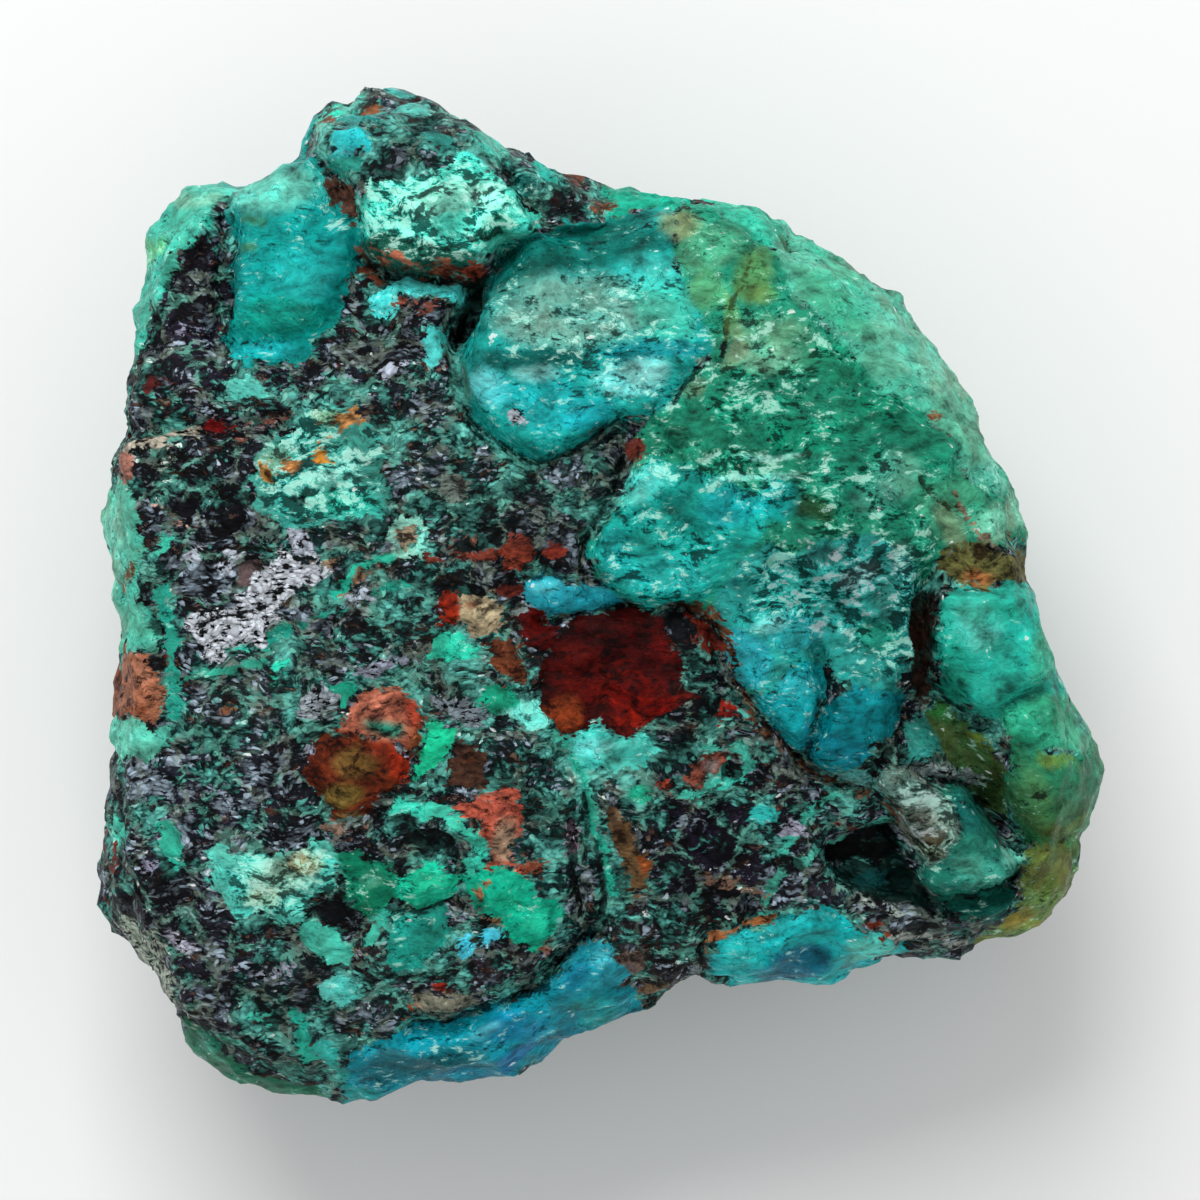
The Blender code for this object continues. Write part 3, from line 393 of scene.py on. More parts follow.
# Each layer holds patches (colour, outline), spots (colour, x, y, half length, half width, turn in
# degrees) and veins (colour, width, line). Veins lie over patches, spots over veins, and in each
# list the later ones over the earlier ones.
greens = {
    "patches": [
        # upper left: corner, strip down the edge and barrel
        ("55b8a0", [(-22.9, 18), (-24, 18.5), (-23.5, 20.5), (-20.5, 22), (-18.7, 21.6), (-18.6, 20.5),
            (-19, 20), (-19.4, 19.5), (-19.5, 18.7), (-20.2, 18.2), (-20.9, 17.2), (-21.6, 17.3)]),
        ("4fae98", [(-24.5, 17.2), (-22.4, 17.3), (-21.4, 17.2), (-21, 16.6), (-21.7, 15.4), (-22.3, 14.3),
            (-22.6, 13.2), (-23, 12.4), (-24.5, 12.5)]),
        ("0a9690", [(-18.6, 22), (-15, 22.6), (-14, 21.3), (-13.4, 20.6), (-12.4, 19.6), (-12, 19),
            (-11.9, 18.2), (-12, 16.4), (-12.5, 15.2), (-13.2, 14.2), (-13.8, 13.4), (-14.5, 12.3),
            (-15.5, 11.8), (-16.5, 11.6), (-17.6, 11.9), (-18.4, 12.4), (-18.7, 13.2), (-18.3, 14.8),
            (-18.3, 16.5), (-18.1, 17.8), (-18.4, 18.6), (-18.6, 19.5), (-19, 20.1)]),
        # the knob's grainy mint patch, and the cyan patch at its foot
        ("58d8c2", [(-8.3, 21.2), (-6.5, 21.9), (-5.8, 21.5), (-4.8, 20.6), (-3.8, 19.6), (-2.9, 18.9),
            (-3.4, 18.2), (-4.8, 17.4), (-6, 17), (-7.6, 17.4), (-9.6, 18), (-11.7, 18.3), (-12, 19.5),
            (-11.5, 20.5), (-9.8, 20.4), (-8.8, 20.9)]),
        ("1c5c4c", [(-12, 18), (-10.5, 18.1), (-8.6, 17.6), (-6, 17.1), (-6.5, 16.4), (-9, 16.2),
            (-11.4, 16.7)]),
        ("5fd4cf", [(-11.2, 14.7), (-10.6, 15.4), (-10.2, 15.9), (-9, 16), (-7.6, 15.7), (-6.7, 15.3),
            (-6.8, 14.9), (-8.6, 15.1), (-9.9, 15.1), (-10, 14.6), (-10.3, 14), (-11, 14.1)]),
        ("6fb8a8", [(-18.6, 10.7), (-17.6, 10.9), (-16.6, 10.7), (-16.7, 10), (-18.1, 9.9)]),
        # speckled area left of the middle, and the band down the left edge
        ("4a9e90", [(-17.2, 7.2), (-15, 8.6), (-13.5, 9.6), (-12, 9.2), (-11, 7.8), (-10.6, 6), (-11, 4.2),
            (-13.5, 4), (-15.5, 3.6), (-17.2, 4.8), (-17.2, 6.2)]),
        ("62b49c", [(-26, 6.9), (-24.2, 6.4), (-23.3, 5.3), (-23, 4.5), (-22.8, 3.3), (-22.6, 2.6),
            (-23, 1.2), (-22.9, 0), (-22.2, -0.8), (-22, -2), (-22.3, -2.6), (-23.2, -2.4), (-24.2, -2.7),
            (-26, -2.8)]),
        ("6cc0a8", [(-26, -5.8), (-24.3, -6), (-23.2, -5.8), (-22.3, -6.5), (-21.3, -6.4), (-21.5, -7.5),
            (-22.3, -7.8), (-23, -7.3), (-23.8, -8), (-24.6, -8.2), (-24.6, -10), (-26, -10)]),
        # the great lump, the smooth outer band, the flaky face and the corner above them
        ("1f9c94", [(-4.8, 17.1), (-4, 17.8), (-3, 18.2), (-1.5, 18.6), (0, 18.8), (2, 19.2), (3.5, 19.3),
            (3.8, 18.4), (3.6, 17), (4, 15.8), (4.4, 14.6), (5.2, 13.5), (5.6, 12.6), (4.7, 11.9),
            (4.2, 10.6), (3.6, 9.9), (2.8, 9.3), (1.8, 8.9), (0.7, 8.9), (-0.3, 8.3), (-1.2, 7.6),
            (-2.3, 7.1), (-3.5, 7.1), (-5, 7.8), (-6.3, 9), (-6.9, 10.2), (-6.9, 11.6), (-6.5, 12.6),
            (-6, 13.8), (-5.6, 14.8), (-5.8, 15.3), (-5.3, 16.2)]),
        ("1fa78a", [(0.2, 22), (5, 21), (4.9, 19.6), (2.6, 19.3), (0.5, 19)]),
        ("3fb89a", [(5, 21.5), (5.5, 19.2), (7, 18.4), (8.6, 17.2), (9.6, 18), (10.8, 19.6)]),
        ("24886a", [(3.9, 19.4), (5.6, 19.3), (7.4, 18.3), (8.5, 17.3), (9.3, 15.8), (9.6, 14.8),
            (10.4, 14.2), (11.2, 13.3), (11.9, 12.5), (12.7, 11.9), (13.6, 10.7), (14.2, 10.2),
            (15.1, 10.1), (16.3, 8.9), (17.2, 8.2), (17.7, 7.5), (17.8, 6.6), (18.3, 6), (20, 5.5),
            (22, 4), (21.6, 2.6), (19, 3), (16.9, 2.4), (15.6, 0.4), (15.2, -2), (14.4, -4.4),
            (12.6, -4.2), (11.4, -3), (9.2, -3), (7.4, -4.6), (6.4, -2.6), (5.4, -0.4), (4.2, -0.2),
            (1.1, -0.1), (-0.2, 1.3), (-0.6, 2.4), (0.1, 3.7), (1, 4.6), (1.5, 6), (2, 8.8), (3.7, 9.8),
            (4.9, 11.5), (5.7, 12.5), (5.1, 14), (4.2, 15.7), (3.7, 17.2)]),
        ("64ae92", [(8.5, 17.3), (9.4, 19.6), (12.5, 18), (15.5, 15.4), (17.8, 12.9), (19.6, 10.2),
            (20.8, 7), (22, 4.8), (20, 5.5), (18.3, 6), (17.8, 6.6), (17.7, 7.5), (17.2, 8.2), (16.3, 8.9),
            (15.1, 10.1), (14.2, 10.2), (13.6, 10.7), (12.7, 11.9), (11.9, 12.5), (11.2, 13.3),
            (10.4, 14.2), (9.6, 14.8), (9.3, 15.8)]),
        ("1c9e92", [(1.3, 5), (1, 4.6), (0.1, 3.7), (-0.6, 2.4), (-0.3, 1.5), (0.3, 0.6), (1.1, -0.1),
            (2.4, -0.3), (4, -0.2), (5, 0), (6.1, 1.2), (7, 2.4), (7.9, 3), (8.1, 4.4), (8, 5), (6.8, 5.6),
            (4.7, 6.5), (2.5, 6.9), (1.5, 6)]),
        ("2a98a8", [(-3.6, 0.9), (-3, 1.3), (-2.3, 1.1), (-1.7, 0.7), (0, 0.8), (0.8, 0.1), (1.2, -0.2),
            (0, -0.6), (-1.5, -0.8), (-2.4, -0.7), (-3.6, 0)]),
        # right: grey-teal field, lenses, blocks and lobes
        ("309890", [(5.6, 0.4), (7, 2.2), (8.3, 2.9), (9.6, 2.2), (11, 3), (13.5, 3.2), (15.8, 1.6),
            (15.6, -1), (15, -3), (14.8, -4.6), (12.6, -4.3), (11.4, -3.2), (9.4, -3.2), (8.6, -4.5),
            (7.2, -4.4), (6.5, -2.8), (5.4, -0.6)]),
        ("2f98a0", [(5.7, -1.8), (6.6, -1.3), (8, -2), (8.5, -3.2), (8, -4.2), (7.1, -4.4), (6.4, -3.4)]),
        ("10989e", [(8.6, -4.5), (9.2, -3.4), (10.2, -3), (11, -3.2), (11.2, -4), (10.9, -4.8),
            (10.6, -5.8), (10.9, -6.2), (10.5, -7.4), (9.8, -7.6), (8.9, -6.4), (7.7, -5)]),
        ("077a82", [(11.3, -5.2), (12, -4.6), (12.6, -4.3), (14.8, -4.6), (15.2, -5.1), (14.6, -6),
            (14.4, -6.6), (13.4, -7.2), (13, -8), (12.4, -8.3), (11, -8.4), (10.5, -7.7), (10.8, -6.6)]),
        ("6a9a94", [(11.2, -8.5), (13.5, -8.4), (13.8, -9), (12.4, -9.3), (11, -9)]),
        ("3a8a80", [(15.2, -6.2), (16.2, -6), (17, -6.8), (16.6, -7.8), (15.6, -8)]),
        ("30ac98", [(17, 0.2), (18.2, 0.5), (19.5, 0.6), (20.3, 1), (22.4, 0.9), (23, -1.5), (24, -4.2),
            (23.2, -4.9), (22, -5.1), (20.9, -5.2), (19.9, -5.6), (19.2, -5.9), (18.5, -5.3), (17.5, -4.9),
            (17, -3.8), (16.8, -2.4), (16.8, -0.8)]),
        ("3a9c78", [(19.9, -5.6), (21.5, -4.7), (23.2, -4.7), (25, -5.4), (26, -7.4), (24, -7.6),
            (22.6, -7.2), (21.3, -7.4), (20.4, -6.8)]),
        ("35805c", [(20.4, -7.2), (22.2, -7.8), (24.2, -7.6), (26.4, -7.4), (26.4, -10.5), (25, -12),
            (23.5, -12), (21.8, -12.3), (21, -11.6), (20.6, -10.4), (20.2, -9.4), (20.6, -8.4)]),
        ("4c5a30", [(16.8, -5), (18, -6), (19, -7), (19.8, -8.2), (20.3, -9.3), (20.2, -10.8),
            (19.4, -10.4), (18.6, -9.2), (17.4, -7.8), (16.4, -6.4)]),
        ("726e64", [(13.8, -9), (14.4, -8.3), (15.3, -8.3), (15.9, -8.8), (17, -9.6), (17.7, -10.2),
            (17.9, -11), (17.4, -11.9), (16.8, -12.6), (16.4, -13.4), (15.9, -12.7), (15.2, -11.8),
            (14.8, -10.8), (14.3, -10)]),
        ("2a7a68", [(16.8, -9.4), (18.4, -9.3), (19, -10.2), (19.6, -11.2), (19.7, -12), (20, -12.6),
            (21, -12.8), (21.1, -13.6), (20.2, -14), (18.6, -14.5), (17.1, -15.1), (16.3, -14.2),
            (16, -13.4), (17, -12.6), (17.8, -11.6), (17.9, -10.6)]),
        ("12574c", [(17.2, -15.2), (20.6, -14.2), (20.9, -14.9), (19.8, -15.9), (17.9, -15.8)]),
        ("7a7a3c", [(21.2, -12.4), (22.5, -12.2), (25, -12), (25, -14), (24.6, -16), (22.3, -17.4),
            (19, -18.4), (19.3, -17.1), (20, -16.4), (21, -15.6), (21.2, -14.4)]),
        # the foot: cyan chunk, blue face with its dome, green and mint clasts above
        ("1aa8a8", [(4.8, -20.6), (5.5, -18.9), (5.6, -18), (6.1, -17), (6.8, -16.5), (8, -16.6), (9, -16),
            (10.4, -15.4), (11.5, -15.5), (12.4, -16.1), (13.6, -16.4), (14.4, -16.8), (15, -17.4),
            (15, -19), (12, -20.6)]),
        ("0c90a0", [(-13, -26.6), (-12.4, -22.6), (-9, -21.3), (-7, -21), (-5, -20.3), (-3, -19.9),
            (-2.6, -19.3), (0.9, -19.3), (1.8, -19.6), (2.6, -21.4), (-2, -23.6), (-9, -26)]),
        ("2898a8", [(-2.7, -19.3), (-2, -18.6), (-1.2, -17.4), (-0.6, -16.9), (0.4, -17.1), (1, -17.9),
            (1.3, -18.6), (0.9, -19.3), (-1, -19.7)]),
        ("2f6f55", [(-21.6, -21.9), (-20.3, -21.6), (-19, -21.9), (-17.8, -22.7), (-16.4, -23.2),
            (-15.2, -23.9), (-14.6, -24.5), (-14.8, -26), (-18.2, -25.5), (-21.4, -23.8)]),
        ("14b490", [(-6.9, -13.8), (-5, -13.1), (-3.8, -13.3), (-3.4, -14.3), (-2.3, -15), (-2.1, -15.8),
            (-2.6, -16.8), (-2.9, -17.6), (-3.6, -17), (-4.6, -16.4), (-5.2, -15.7), (-6.2, -15)]),
        ("0c7c5c", [(-13.1, -12.8), (-12, -12.6), (-11.2, -12.9), (-10, -13.4), (-10, -14.6),
            (-10.4, -15.2), (-11.4, -15.6), (-12.3, -14.8)]),
        ("1cc098", [(-10, -13.8), (-9.2, -13.2), (-8, -13.1), (-7.2, -13.8), (-7.2, -14.6), (-7.8, -15.1),
            (-8.8, -15.1), (-9.8, -14.7)]),
        ("52bca6", [(-14.8, -16.1), (-14, -15.9), (-13, -16.6), (-12.3, -17.2), (-12.2, -17.9),
            (-13, -18.1), (-14, -17.6), (-14.8, -16.9)]),
        ("259080", [(-10.2, -15.6), (-8.6, -15.4), (-7.6, -15.5), (-7.5, -16.6), (-8, -17.4), (-9, -18.2),
            (-10.3, -18.6), (-10.6, -17.2)]),
        ("6cc4b8", [(-14.1, -19.2), (-13.2, -18.7), (-12.2, -19.2), (-12.2, -19.9), (-13.4, -19.9)]),
        # middle: mint and green bits round the red clasts
        ("38c0a0", [(-8.4, -2.8), (-8, -1.7), (-7, -1.6), (-6.1, -2.3), (-6.1, -2.9)]),
        ("8ad8c8", [(-4.9, -5.5), (-4, -5.2), (-3, -5.1), (-2.4, -5.9), (-3.2, -6.3)]),
        ("58bfb0", [(-1.8, -6.4), (0, -6.1), (0.9, -6.8), (2.2, -6.5), (2.8, -7.4), (2.4, -8.3),
            (-0.6, -8.3), (-1.6, -7.4)]),
        ("1ebc8c", [(-8.4, -5.9), (-7.2, -6.3), (-7.4, -7.1), (-8.3, -8.4), (-9.3, -8.5), (-8.7, -7)]),
        ("23987c", [(-13.2, -4.2), (-12, -3.9), (-11.9, -4.6), (-12.8, -5.6)]),
        ("6ccab8", [(-19.4, -12.3), (-18.4, -12.4), (-17, -12.7), (-15.5, -12.8), (-14.4, -12),
            (-13.2, -12.2), (-13, -13.2), (-13.3, -14.2), (-14.2, -14.7), (-14.8, -15.9), (-15.8, -15.8),
            (-16.6, -15.5), (-18, -15.6), (-18.8, -14.8), (-19.2, -13.8)]),
    ],
    "spots": [
        ("5fd4cf", -8.2, 12.6, 0.8, 0.4, 80), ("38c0a0", -16.1, -3.6, 0.35, 0.12, 60),
        ("4fc0a8", -17.8, -2.2, 0.25, 0.18, 0), ("48b89c", -21.6, 2.8, 0.3, 0.22, 60),
        ("1f9a78", -5, -4.8, 0.8, 0.7, 0), ("57c8e0", -6.7, -17, 0.42, 0.36, 0),
        ("57c8e0", -5.5, -16.8, 0.3, 0.26, 0), ("2fb08c", 2.1, -9.6, 0.45, 0.35, 0),
        ("3aa8a0", 8.2, -10.6, 0.55, 0.4, 20), ("4fc0a8", -24, -11.5, 0.5, 0.3, 60),
        ("58b8a0", -17, -21, 0.35, 0.3, 0), ("6cc4a8", -23, -17.8, 0.35, 0.25, 30),
        ("3fb898", -11.5, -9.6, 0.5, 0.3, 70), ("8fd8c4", 20.4, -12.8, 0.55, 0.3, 0),
        ("3aa0a0", 13.7, -14.2, 0.6, 0.35, 20), ("34bcc0", -12.2, 22.8, 0.8, 0.65, 0),
        ("4fb0a8", -11.6, 24, 1.2, 0.35, 10), ("6ac4b8", -9.4, 24.4, 0.8, 0.3, -10),
        ("3a8a80", -8, 22.6, 0.9, 0.4, -30), ("4fa894", -5.6, 22.8, 0.9, 0.4, -40),
        ("2f8a7c", -12.6, 21.6, 0.7, 0.5, 0), ("3f9c8c", -2.6, 21.2, 0.7, 0.3, -30),
        ("2a7a70", -3.9, 20.4, 0.6, 0.4, 0), ("3fb89a", -13.3, 24.8, 0.55, 0.35, 30),
        ("5fc8a8", -14.3, 24, 0.4, 0.3, 0), ("3aa48c", -11.2, -5.8, 0.9, 0.35, -10),
    ],
    "veins": [
        ("2f9a86", 0.5, [(-21.7, 0.6), (-21.4, -1.5), (-21.3, -3.5), (-21, -5.6)]),
        ("3aa890", 0.5, [(-21.6, -11.5), (-21.2, -12.3), (-20.8, -13.2)]),
        ("2fa58f", 0.6, [(-15.2, -20.6), (-14.6, -21.6), (-14.6, -22.9)]),
        ("3a9a90", 0.55, [(-14, -22), (-13.4, -23), (-12.8, -23.9)]),
        ("34b498", 0.22, [(-13.9, 0), (-12, 1.3), (-10.5, 2.2), (-9.6, 2.5)]),
        ("2a9480", 0.18, [(-16.9, -2.3), (-15.5, -1.4), (-14, -1), (-12.5, -0.4), (-11, 0.4), (-9.5, 0.9)]),
        ("3f9c84", 0.22, [(-20.5, -4), (-19.5, -3.6), (-18, -3.4), (-16.5, -2.6)]),
        ("4fb8a0", 0.35, [(-11.5, -17), (-11, -16.2), (-10.4, -15.4)]),
        ("4cc8ac", 0.5, [(-10, -10.3), (-8.2, -10.3), (-7, -11), (-6.1, -11.8), (-5.8, -12.6),
            (-6.2, -13.3)]),
        ("5fc4ac", 0.18, [(-2.2, -6.3), (-1.2, -7.8), (-0.6, -9), (-0.3, -11)]),
        ("2fa088", 0.22, [(-1.8, -6.8), (-0.9, -8.5), (-0.5, -10), (-0.4, -11.5), (0.2, -12.6),
            (0.6, -14.4)]),
        ("4fb8a4", 0.3, [(6.9, -7.2), (7.4, -8), (7, -8.9), (6, -9.2)]),
        ("58bfa8", 0.28, [(4.1, -9.4), (5, -9.7), (6, -8.6), (6.8, -7.4), (5.2, -7.2)]),
        ("5fb8a4", 0.2, [(14.6, -10.9), (12.3, -11.8), (10.5, -12.6), (9.3, -13.4), (8.8, -14)]),
        ("4fa894", 0.2, [(11.6, -9.6), (10.2, -10.9), (9.3, -12.2), (9, -13.6), (8.2, -15.2),
            (8.1, -16.5)]),
        ("a8dcc8", 0.3, [(-10.4, 3.1), (-9.9, 3.9), (-9, 3.8), (-8.5, 3.1), (-9, 2.3), (-9.9, 2.3),
            (-10.4, 3.1)]),
        ("4fae98", 0.3, [(-24.2, -2.9), (-24.5, -4.2), (-24.3, -5.6)]),
        ("2aa0a0", 0.35, [(6.4, -16.9), (8, -16.8), (9, -16.2), (10.4, -15.6), (11.6, -15.8)]),
    ],
}

# Soft shades over the green layer: colour, x, y, half length, half width, turn, strength.
greenShades = [
    ("a8c860", -22.3, 17.4, 0.9, 0.5, 20, 0.5), ("d8f0d0", -20.3, 20.2, 1.1, 0.5, -20, 0.3),
    ("7ccfba", -16.5, 20.4, 2.6, 1.2, 0, 0.8), ("0b8a78", -15.8, 14, 2.4, 1, 0, 0.85),
    ("20b4b8", -16.8, 12.4, 1.8, 0.45, 0, 0.8), ("2cb4b0", -14.5, 16.2, 1.5, 1.3, 0, 0.45),
    ("4a7a50", -17, 18.7, 0.7, 0.3, -20, 0.7), ("5a7a40", -17.3, 17.3, 0.45, 0.3, 0, 0.6),
    ("0a6a68", -18, 16, 0.5, 2, 0, 0.6), ("0b7f80", -13, 17, 0.9, 2.2, -15, 0.4),
    ("c0f0d8", -8, 19.6, 2.2, 0.8, 10, 0.45), ("d8f8e4", -5.4, 19.8, 1, 0.6, -30, 0.4),
    ("0b6a50", -5.2, 18.2, 1.3, 0.5, 20, 0.75), ("0b6a50", -9.5, 18.9, 0.9, 0.3, 0, 0.55),
    ("065e54", -1, 17.4, 4.4, 1.1, 10, 0.85), ("0c5a50", -3.8, 15.9, 1.9, 0.45, 35, 0.85),
    ("0c5a50", -1.9, 17.2, 0.9, 0.35, 30, 0.6), ("7aa596", -1, 14.2, 3.9, 1.7, 0, 0.9),
    ("8fae9e", -3, 13.3, 2.2, 0.9, -10, 0.6), ("55c0a8", 3.1, 14.2, 1.4, 2, 15, 0.8),
    ("4cc0b8", 2.4, 16.2, 1.4, 0.9, 0, 0.5), ("06504a", -3.4, 11.8, 2.9, 0.55, 3, 0.9),
    ("0f8088", 2.5, 12.2, 2.4, 0.5, 3, 0.8), ("7cd4d8", -5.5, 10.3, 1.1, 0.8, -40, 0.75),
    ("20b0b4", -2.4, 9.6, 2.2, 1.2, -10, 0.8), ("9ed8d4", 1.5, 10.9, 1.7, 0.8, 10, 0.7),
    ("a4dcd8", -3.2, 11.1, 1.2, 0.35, 0, 0.5), ("0f94a0", -0.6, 9, 1.3, 0.6, 20, 0.6),
    ("5a7a6c", -6.9, 10.6, 0.35, 1.5, 10, 0.8), ("a8a070", 4, 18.5, 1.1, 0.7, 0, 0.7),
    ("6c8a4c", 7.6, 16, 0.8, 1.4, -10, 0.75), ("7c9a50", 8, 15.1, 0.7, 0.6, 0, 0.6),
    ("6aa880", 5.4, 17.2, 1.6, 1, 20, 0.7), ("6fae78", 5.3, 15.2, 1, 0.9, 0, 0.7),
    ("8a9a54", 6.6, 13.8, 0.35, 1.4, 10, 0.6), ("8ab890", 8.5, 12.5, 2.2, 1.3, -5, 0.55),
    ("1f8a68", 11.2, 11.8, 2, 0.9, -20, 0.7), ("0f7a5c", 13.6, 9.4, 1.4, 0.9, -10, 0.9),
    ("12906f", 10, 8, 2.4, 0.8, 0, 0.8), ("8fc8a8", 8, 12, 1.6, 0.7, 0, 0.5),
    ("a8dccc", 8.4, 7, 1.6, 0.16, 0, 0.7), ("a8e0cc", 7.8, 6, 2.2, 0.16, 3, 0.7),
    ("2f4a20", 10.3, 4.6, 1.2, 0.6, -25, 0.8), ("12a0a0", 8.6, 4.8, 1, 1.1, 0, 0.7),
    ("0a6a60", 9.6, 5.4, 0.4, 0.8, 0, 0.6), ("1f8a70", 13, 6.4, 2.2, 1.6, 20, 0.5),
    ("7fb8a0", 14.6, 6.2, 1.2, 1, 0, 0.5), ("5fb48c", 17.4, 4.6, 1.6, 1.6, 0, 0.6),
    ("9cc4a4", 19.8, 3.8, 1.3, 0.8, 0, 0.8), ("9a8a68", 17.2, 3.6, 0.5, 1.3, 25, 0.5),
    ("8a7a58", 6.6, 12, 0.9, 0.4, 40, 0.5), ("7a7a60", 4.6, 10.4, 0.7, 0.35, 45, 0.6),
    ("5a8478", 13.5, 5, 1.2, 0.7, 10, 0.4), ("8a9a78", 13.7, 15.6, 1.2, 0.4, -45, 0.55),
    ("8a9070", 14.4, 14.4, 0.9, 0.35, -45, 0.5), ("8a9470", 16.2, 11.1, 1, 0.45, -50, 0.5),
    ("94a084", 17.6, 10.9, 0.9, 0.5, -50, 0.6), ("94a084", 18.8, 9.6, 0.9, 0.5, -60, 0.6),
    ("43b488", 11.4, 14.6, 2.2, 0.8, -45, 0.5), ("8ccfb4", 15.4, 12.2, 2.6, 0.9, -50, 0.5),
    ("8ccbb0", 19.6, 6.4, 0.7, 1.2, 10, 0.6), ("4fbf98", 11.8, 16.2, 1.6, 0.6, -40, 0.4),
    ("7cc4a0", 18.2, 8, 0.8, 1, 20, 0.5), ("7cd8cc", 1.8, 5.6, 1.3, 0.8, 20, 0.55),
    ("34bcb8", 3, 1.2, 2, 0.9, 0, 0.5), ("0c6a60", 3.5, 4.5, 0.7, 0.45, -10, 0.85),
    ("0c7a70", 4.6, 3.9, 1.2, 0.4, -10, 0.6), ("18a8b0", 6.2, 4.6, 1.4, 0.9, 0, 0.6),
    ("20b0b4", 0.7, 2.4, 0.8, 1.2, 0, 0.4), ("6cc4cc", -2.6, 0.6, 0.7, 0.4, 0, 0.6),
    ("18808c", -0.4, 0.2, 0.9, 0.25, -5, 0.6), ("2fa59a", 9.4, 0.4, 2, 1, 0, 0.5),
    ("86888a", 12.7, 1.2, 1.2, 0.5, 25, 0.7), ("2f5a58", 11, 2.2, 1.2, 0.4, 10, 0.6),
    ("2f98a0", 9.6, -1.6, 1.4, 0.8, 0, 0.6), ("b0dcd4", 8.3, -1.2, 0.8, 0.4, 0, 0.5),
    ("3a7a70", 14.4, 0, 0.8, 1.2, 0, 0.6), ("2fae90", 13.6, -1.8, 1, 0.7, 0, 0.6),
    ("4a5a58", 14.8, 2, 0.6, 0.9, 30, 0.6), ("3cb8c0", 9.6, -4.2, 0.9, 0.6, 0, 0.5),
    ("0f7890", 10.2, -6.8, 0.45, 0.9, 0, 0.5), ("0c6f80", 12.2, -7.4, 1.4, 0.7, -20, 0.6),
    ("0c98a0", 13.2, -5.2, 1, 0.5, 0, 0.5), ("4fb892", 22.2, -2.2, 0.8, 2.2, -20, 0.7),
    ("6cc8b8", 18.6, -1.2, 1.2, 1.2, 0, 0.6), ("0f7a60", 17.6, -3.4, 0.7, 1.6, 0, 0.6),
    ("2fb090", 19.2, -0.6, 1.6, 0.6, 0, 0.4), ("5fc49c", 23.6, -6.6, 1, 0.8, 0, 0.6),
    ("0f7a58", 20.6, -7, 1, 0.4, 10, 0.6), ("8a8a30", 22.6, -7.9, 0.9, 0.35, 0, 0.7),
    ("2c8060", 24.6, -9.4, 0.7, 1.8, 0, 0.7), ("2a6a3c", 21.6, -11.2, 1, 0.8, 0, 0.6),
    ("5c6c3c", 21.4, -9.8, 0.9, 1.6, 0, 0.7), ("4a6c3c", 23, -10.6, 1.2, 0.8, 0, 0.5),
    ("8cc4a0", 25, -6.8, 0.6, 1, 0, 0.4), ("5a4430", 16.4, -12, 0.5, 0.7, 0, 0.7),
    ("9cc098", 22.6, -16.2, 1.4, 0.5, 30, 0.5), ("6a6a28", 23, -11.6, 1.4, 0.5, 0, 0.7),
    ("2f6a30", 17, -5.6, 0.6, 0.4, 0, 0.8), ("7a7420", 19, -7.2, 0.7, 0.3, -40, 0.5),
    ("2c3014", 19.4, -9.4, 0.6, 1, 0, 0.8), ("a09c8e", 17, -10.8, 0.7, 0.6, 0, 0.9),
    ("5a4a34", 16.3, -12.2, 0.6, 0.5, 0, 0.7), ("5e5648", 15.4, -10.6, 0.4, 0.5, 30, 0.7),
    ("868a80", 15, -9.2, 0.8, 0.5, 0, 0.5), ("5fae98", 18.8, -13.4, 1.6, 0.7, -20, 0.6),
    ("0a5a5c", 18.2, -10.4, 0.5, 1, 30, 0.6), ("7a7430", 22.8, -14.6, 1, 0.8, 0, 0.7),
    ("a8862a", 20.9, -16.4, 0.8, 0.5, 20, 0.7), ("5a4a20", 21.6, -13.6, 0.6, 0.8, 0, 0.6),
    ("4a4a28", 23.4, -12.8, 1, 0.3, 0, 0.6), ("055c78", 10, -17.7, 1.5, 0.8, 10, 0.9),
    ("0c7490", 8.6, -18.6, 0.9, 0.4, 0, 0.6), ("6cc8b8", 13.5, -17.3, 1.1, 0.7, 0, 0.9),
    ("3cc0b8", 7, -17.6, 0.9, 0.6, 0, 0.5), ("1488ac", -4.4, -21.3, 1.3, 0.8, 0, 0.9),
    ("1070a4", -3.8, -22.9, 1.5, 0.6, 25, 0.9), ("0c7488", -1.4, -21.4, 1.2, 0.6, 20, 0.7),
    ("1a9c98", -0.5, -20.2, 1.2, 0.5, 0, 0.7), ("6ab0bc", -5.6, -21.4, 0.7, 0.3, 20, 0.5),
    ("0c5860", -7.6, -22.9, 1.8, 0.8, 10, 0.8), ("6aa4ac", -10.6, -22.8, 1, 0.5, 0, 0.5),
    ("0e5c68", -10, -23.6, 2.2, 1, -10, 0.8), ("2f9a94", -12.3, -25, 0.9, 0.6, 0, 0.8),
    ("107494", -1.2, -18.6, 0.8, 0.5, 50, 0.7), ("6cc8d4", 0.1, -17.7, 0.6, 0.4, 0, 0.6),
    ("0c5a48", -17.8, -23.6, 1.4, 0.5, -20, 0.5), ("6a9a88", -19.6, -22.4, 0.8, 0.4, -20, 0.5),
    ("78a890", -11.2, -13.9, 0.6, 0.3, 0, 0.4), ("0c7a58", -11.6, -14.6, 0.8, 0.6, -40, 0.6),
    ("30d8a8", -8.4, -13.9, 0.8, 0.5, 0, 0.6), ("0c9068", -4.4, -14.8, 0.6, 0.5, 0, 0.6),
    ("30c8a0", -3.2, -15.8, 0.7, 0.6, 0, 0.5), ("a8b49c", -15.9, -13.6, 1.5, 0.8, 0, 0.7),
    ("c8a070", -14.6, -12.9, 0.9, 0.5, 0, 0.8), ("a8845c", -16.6, -14.6, 0.9, 0.5, 10, 0.6),
    ("8ad4c4", -13.2, 6.2, 1.2, 0.8, 0, 0.5), ("1fa890", -12.6, 4.8, 1.6, 0.6, 0, 0.7),
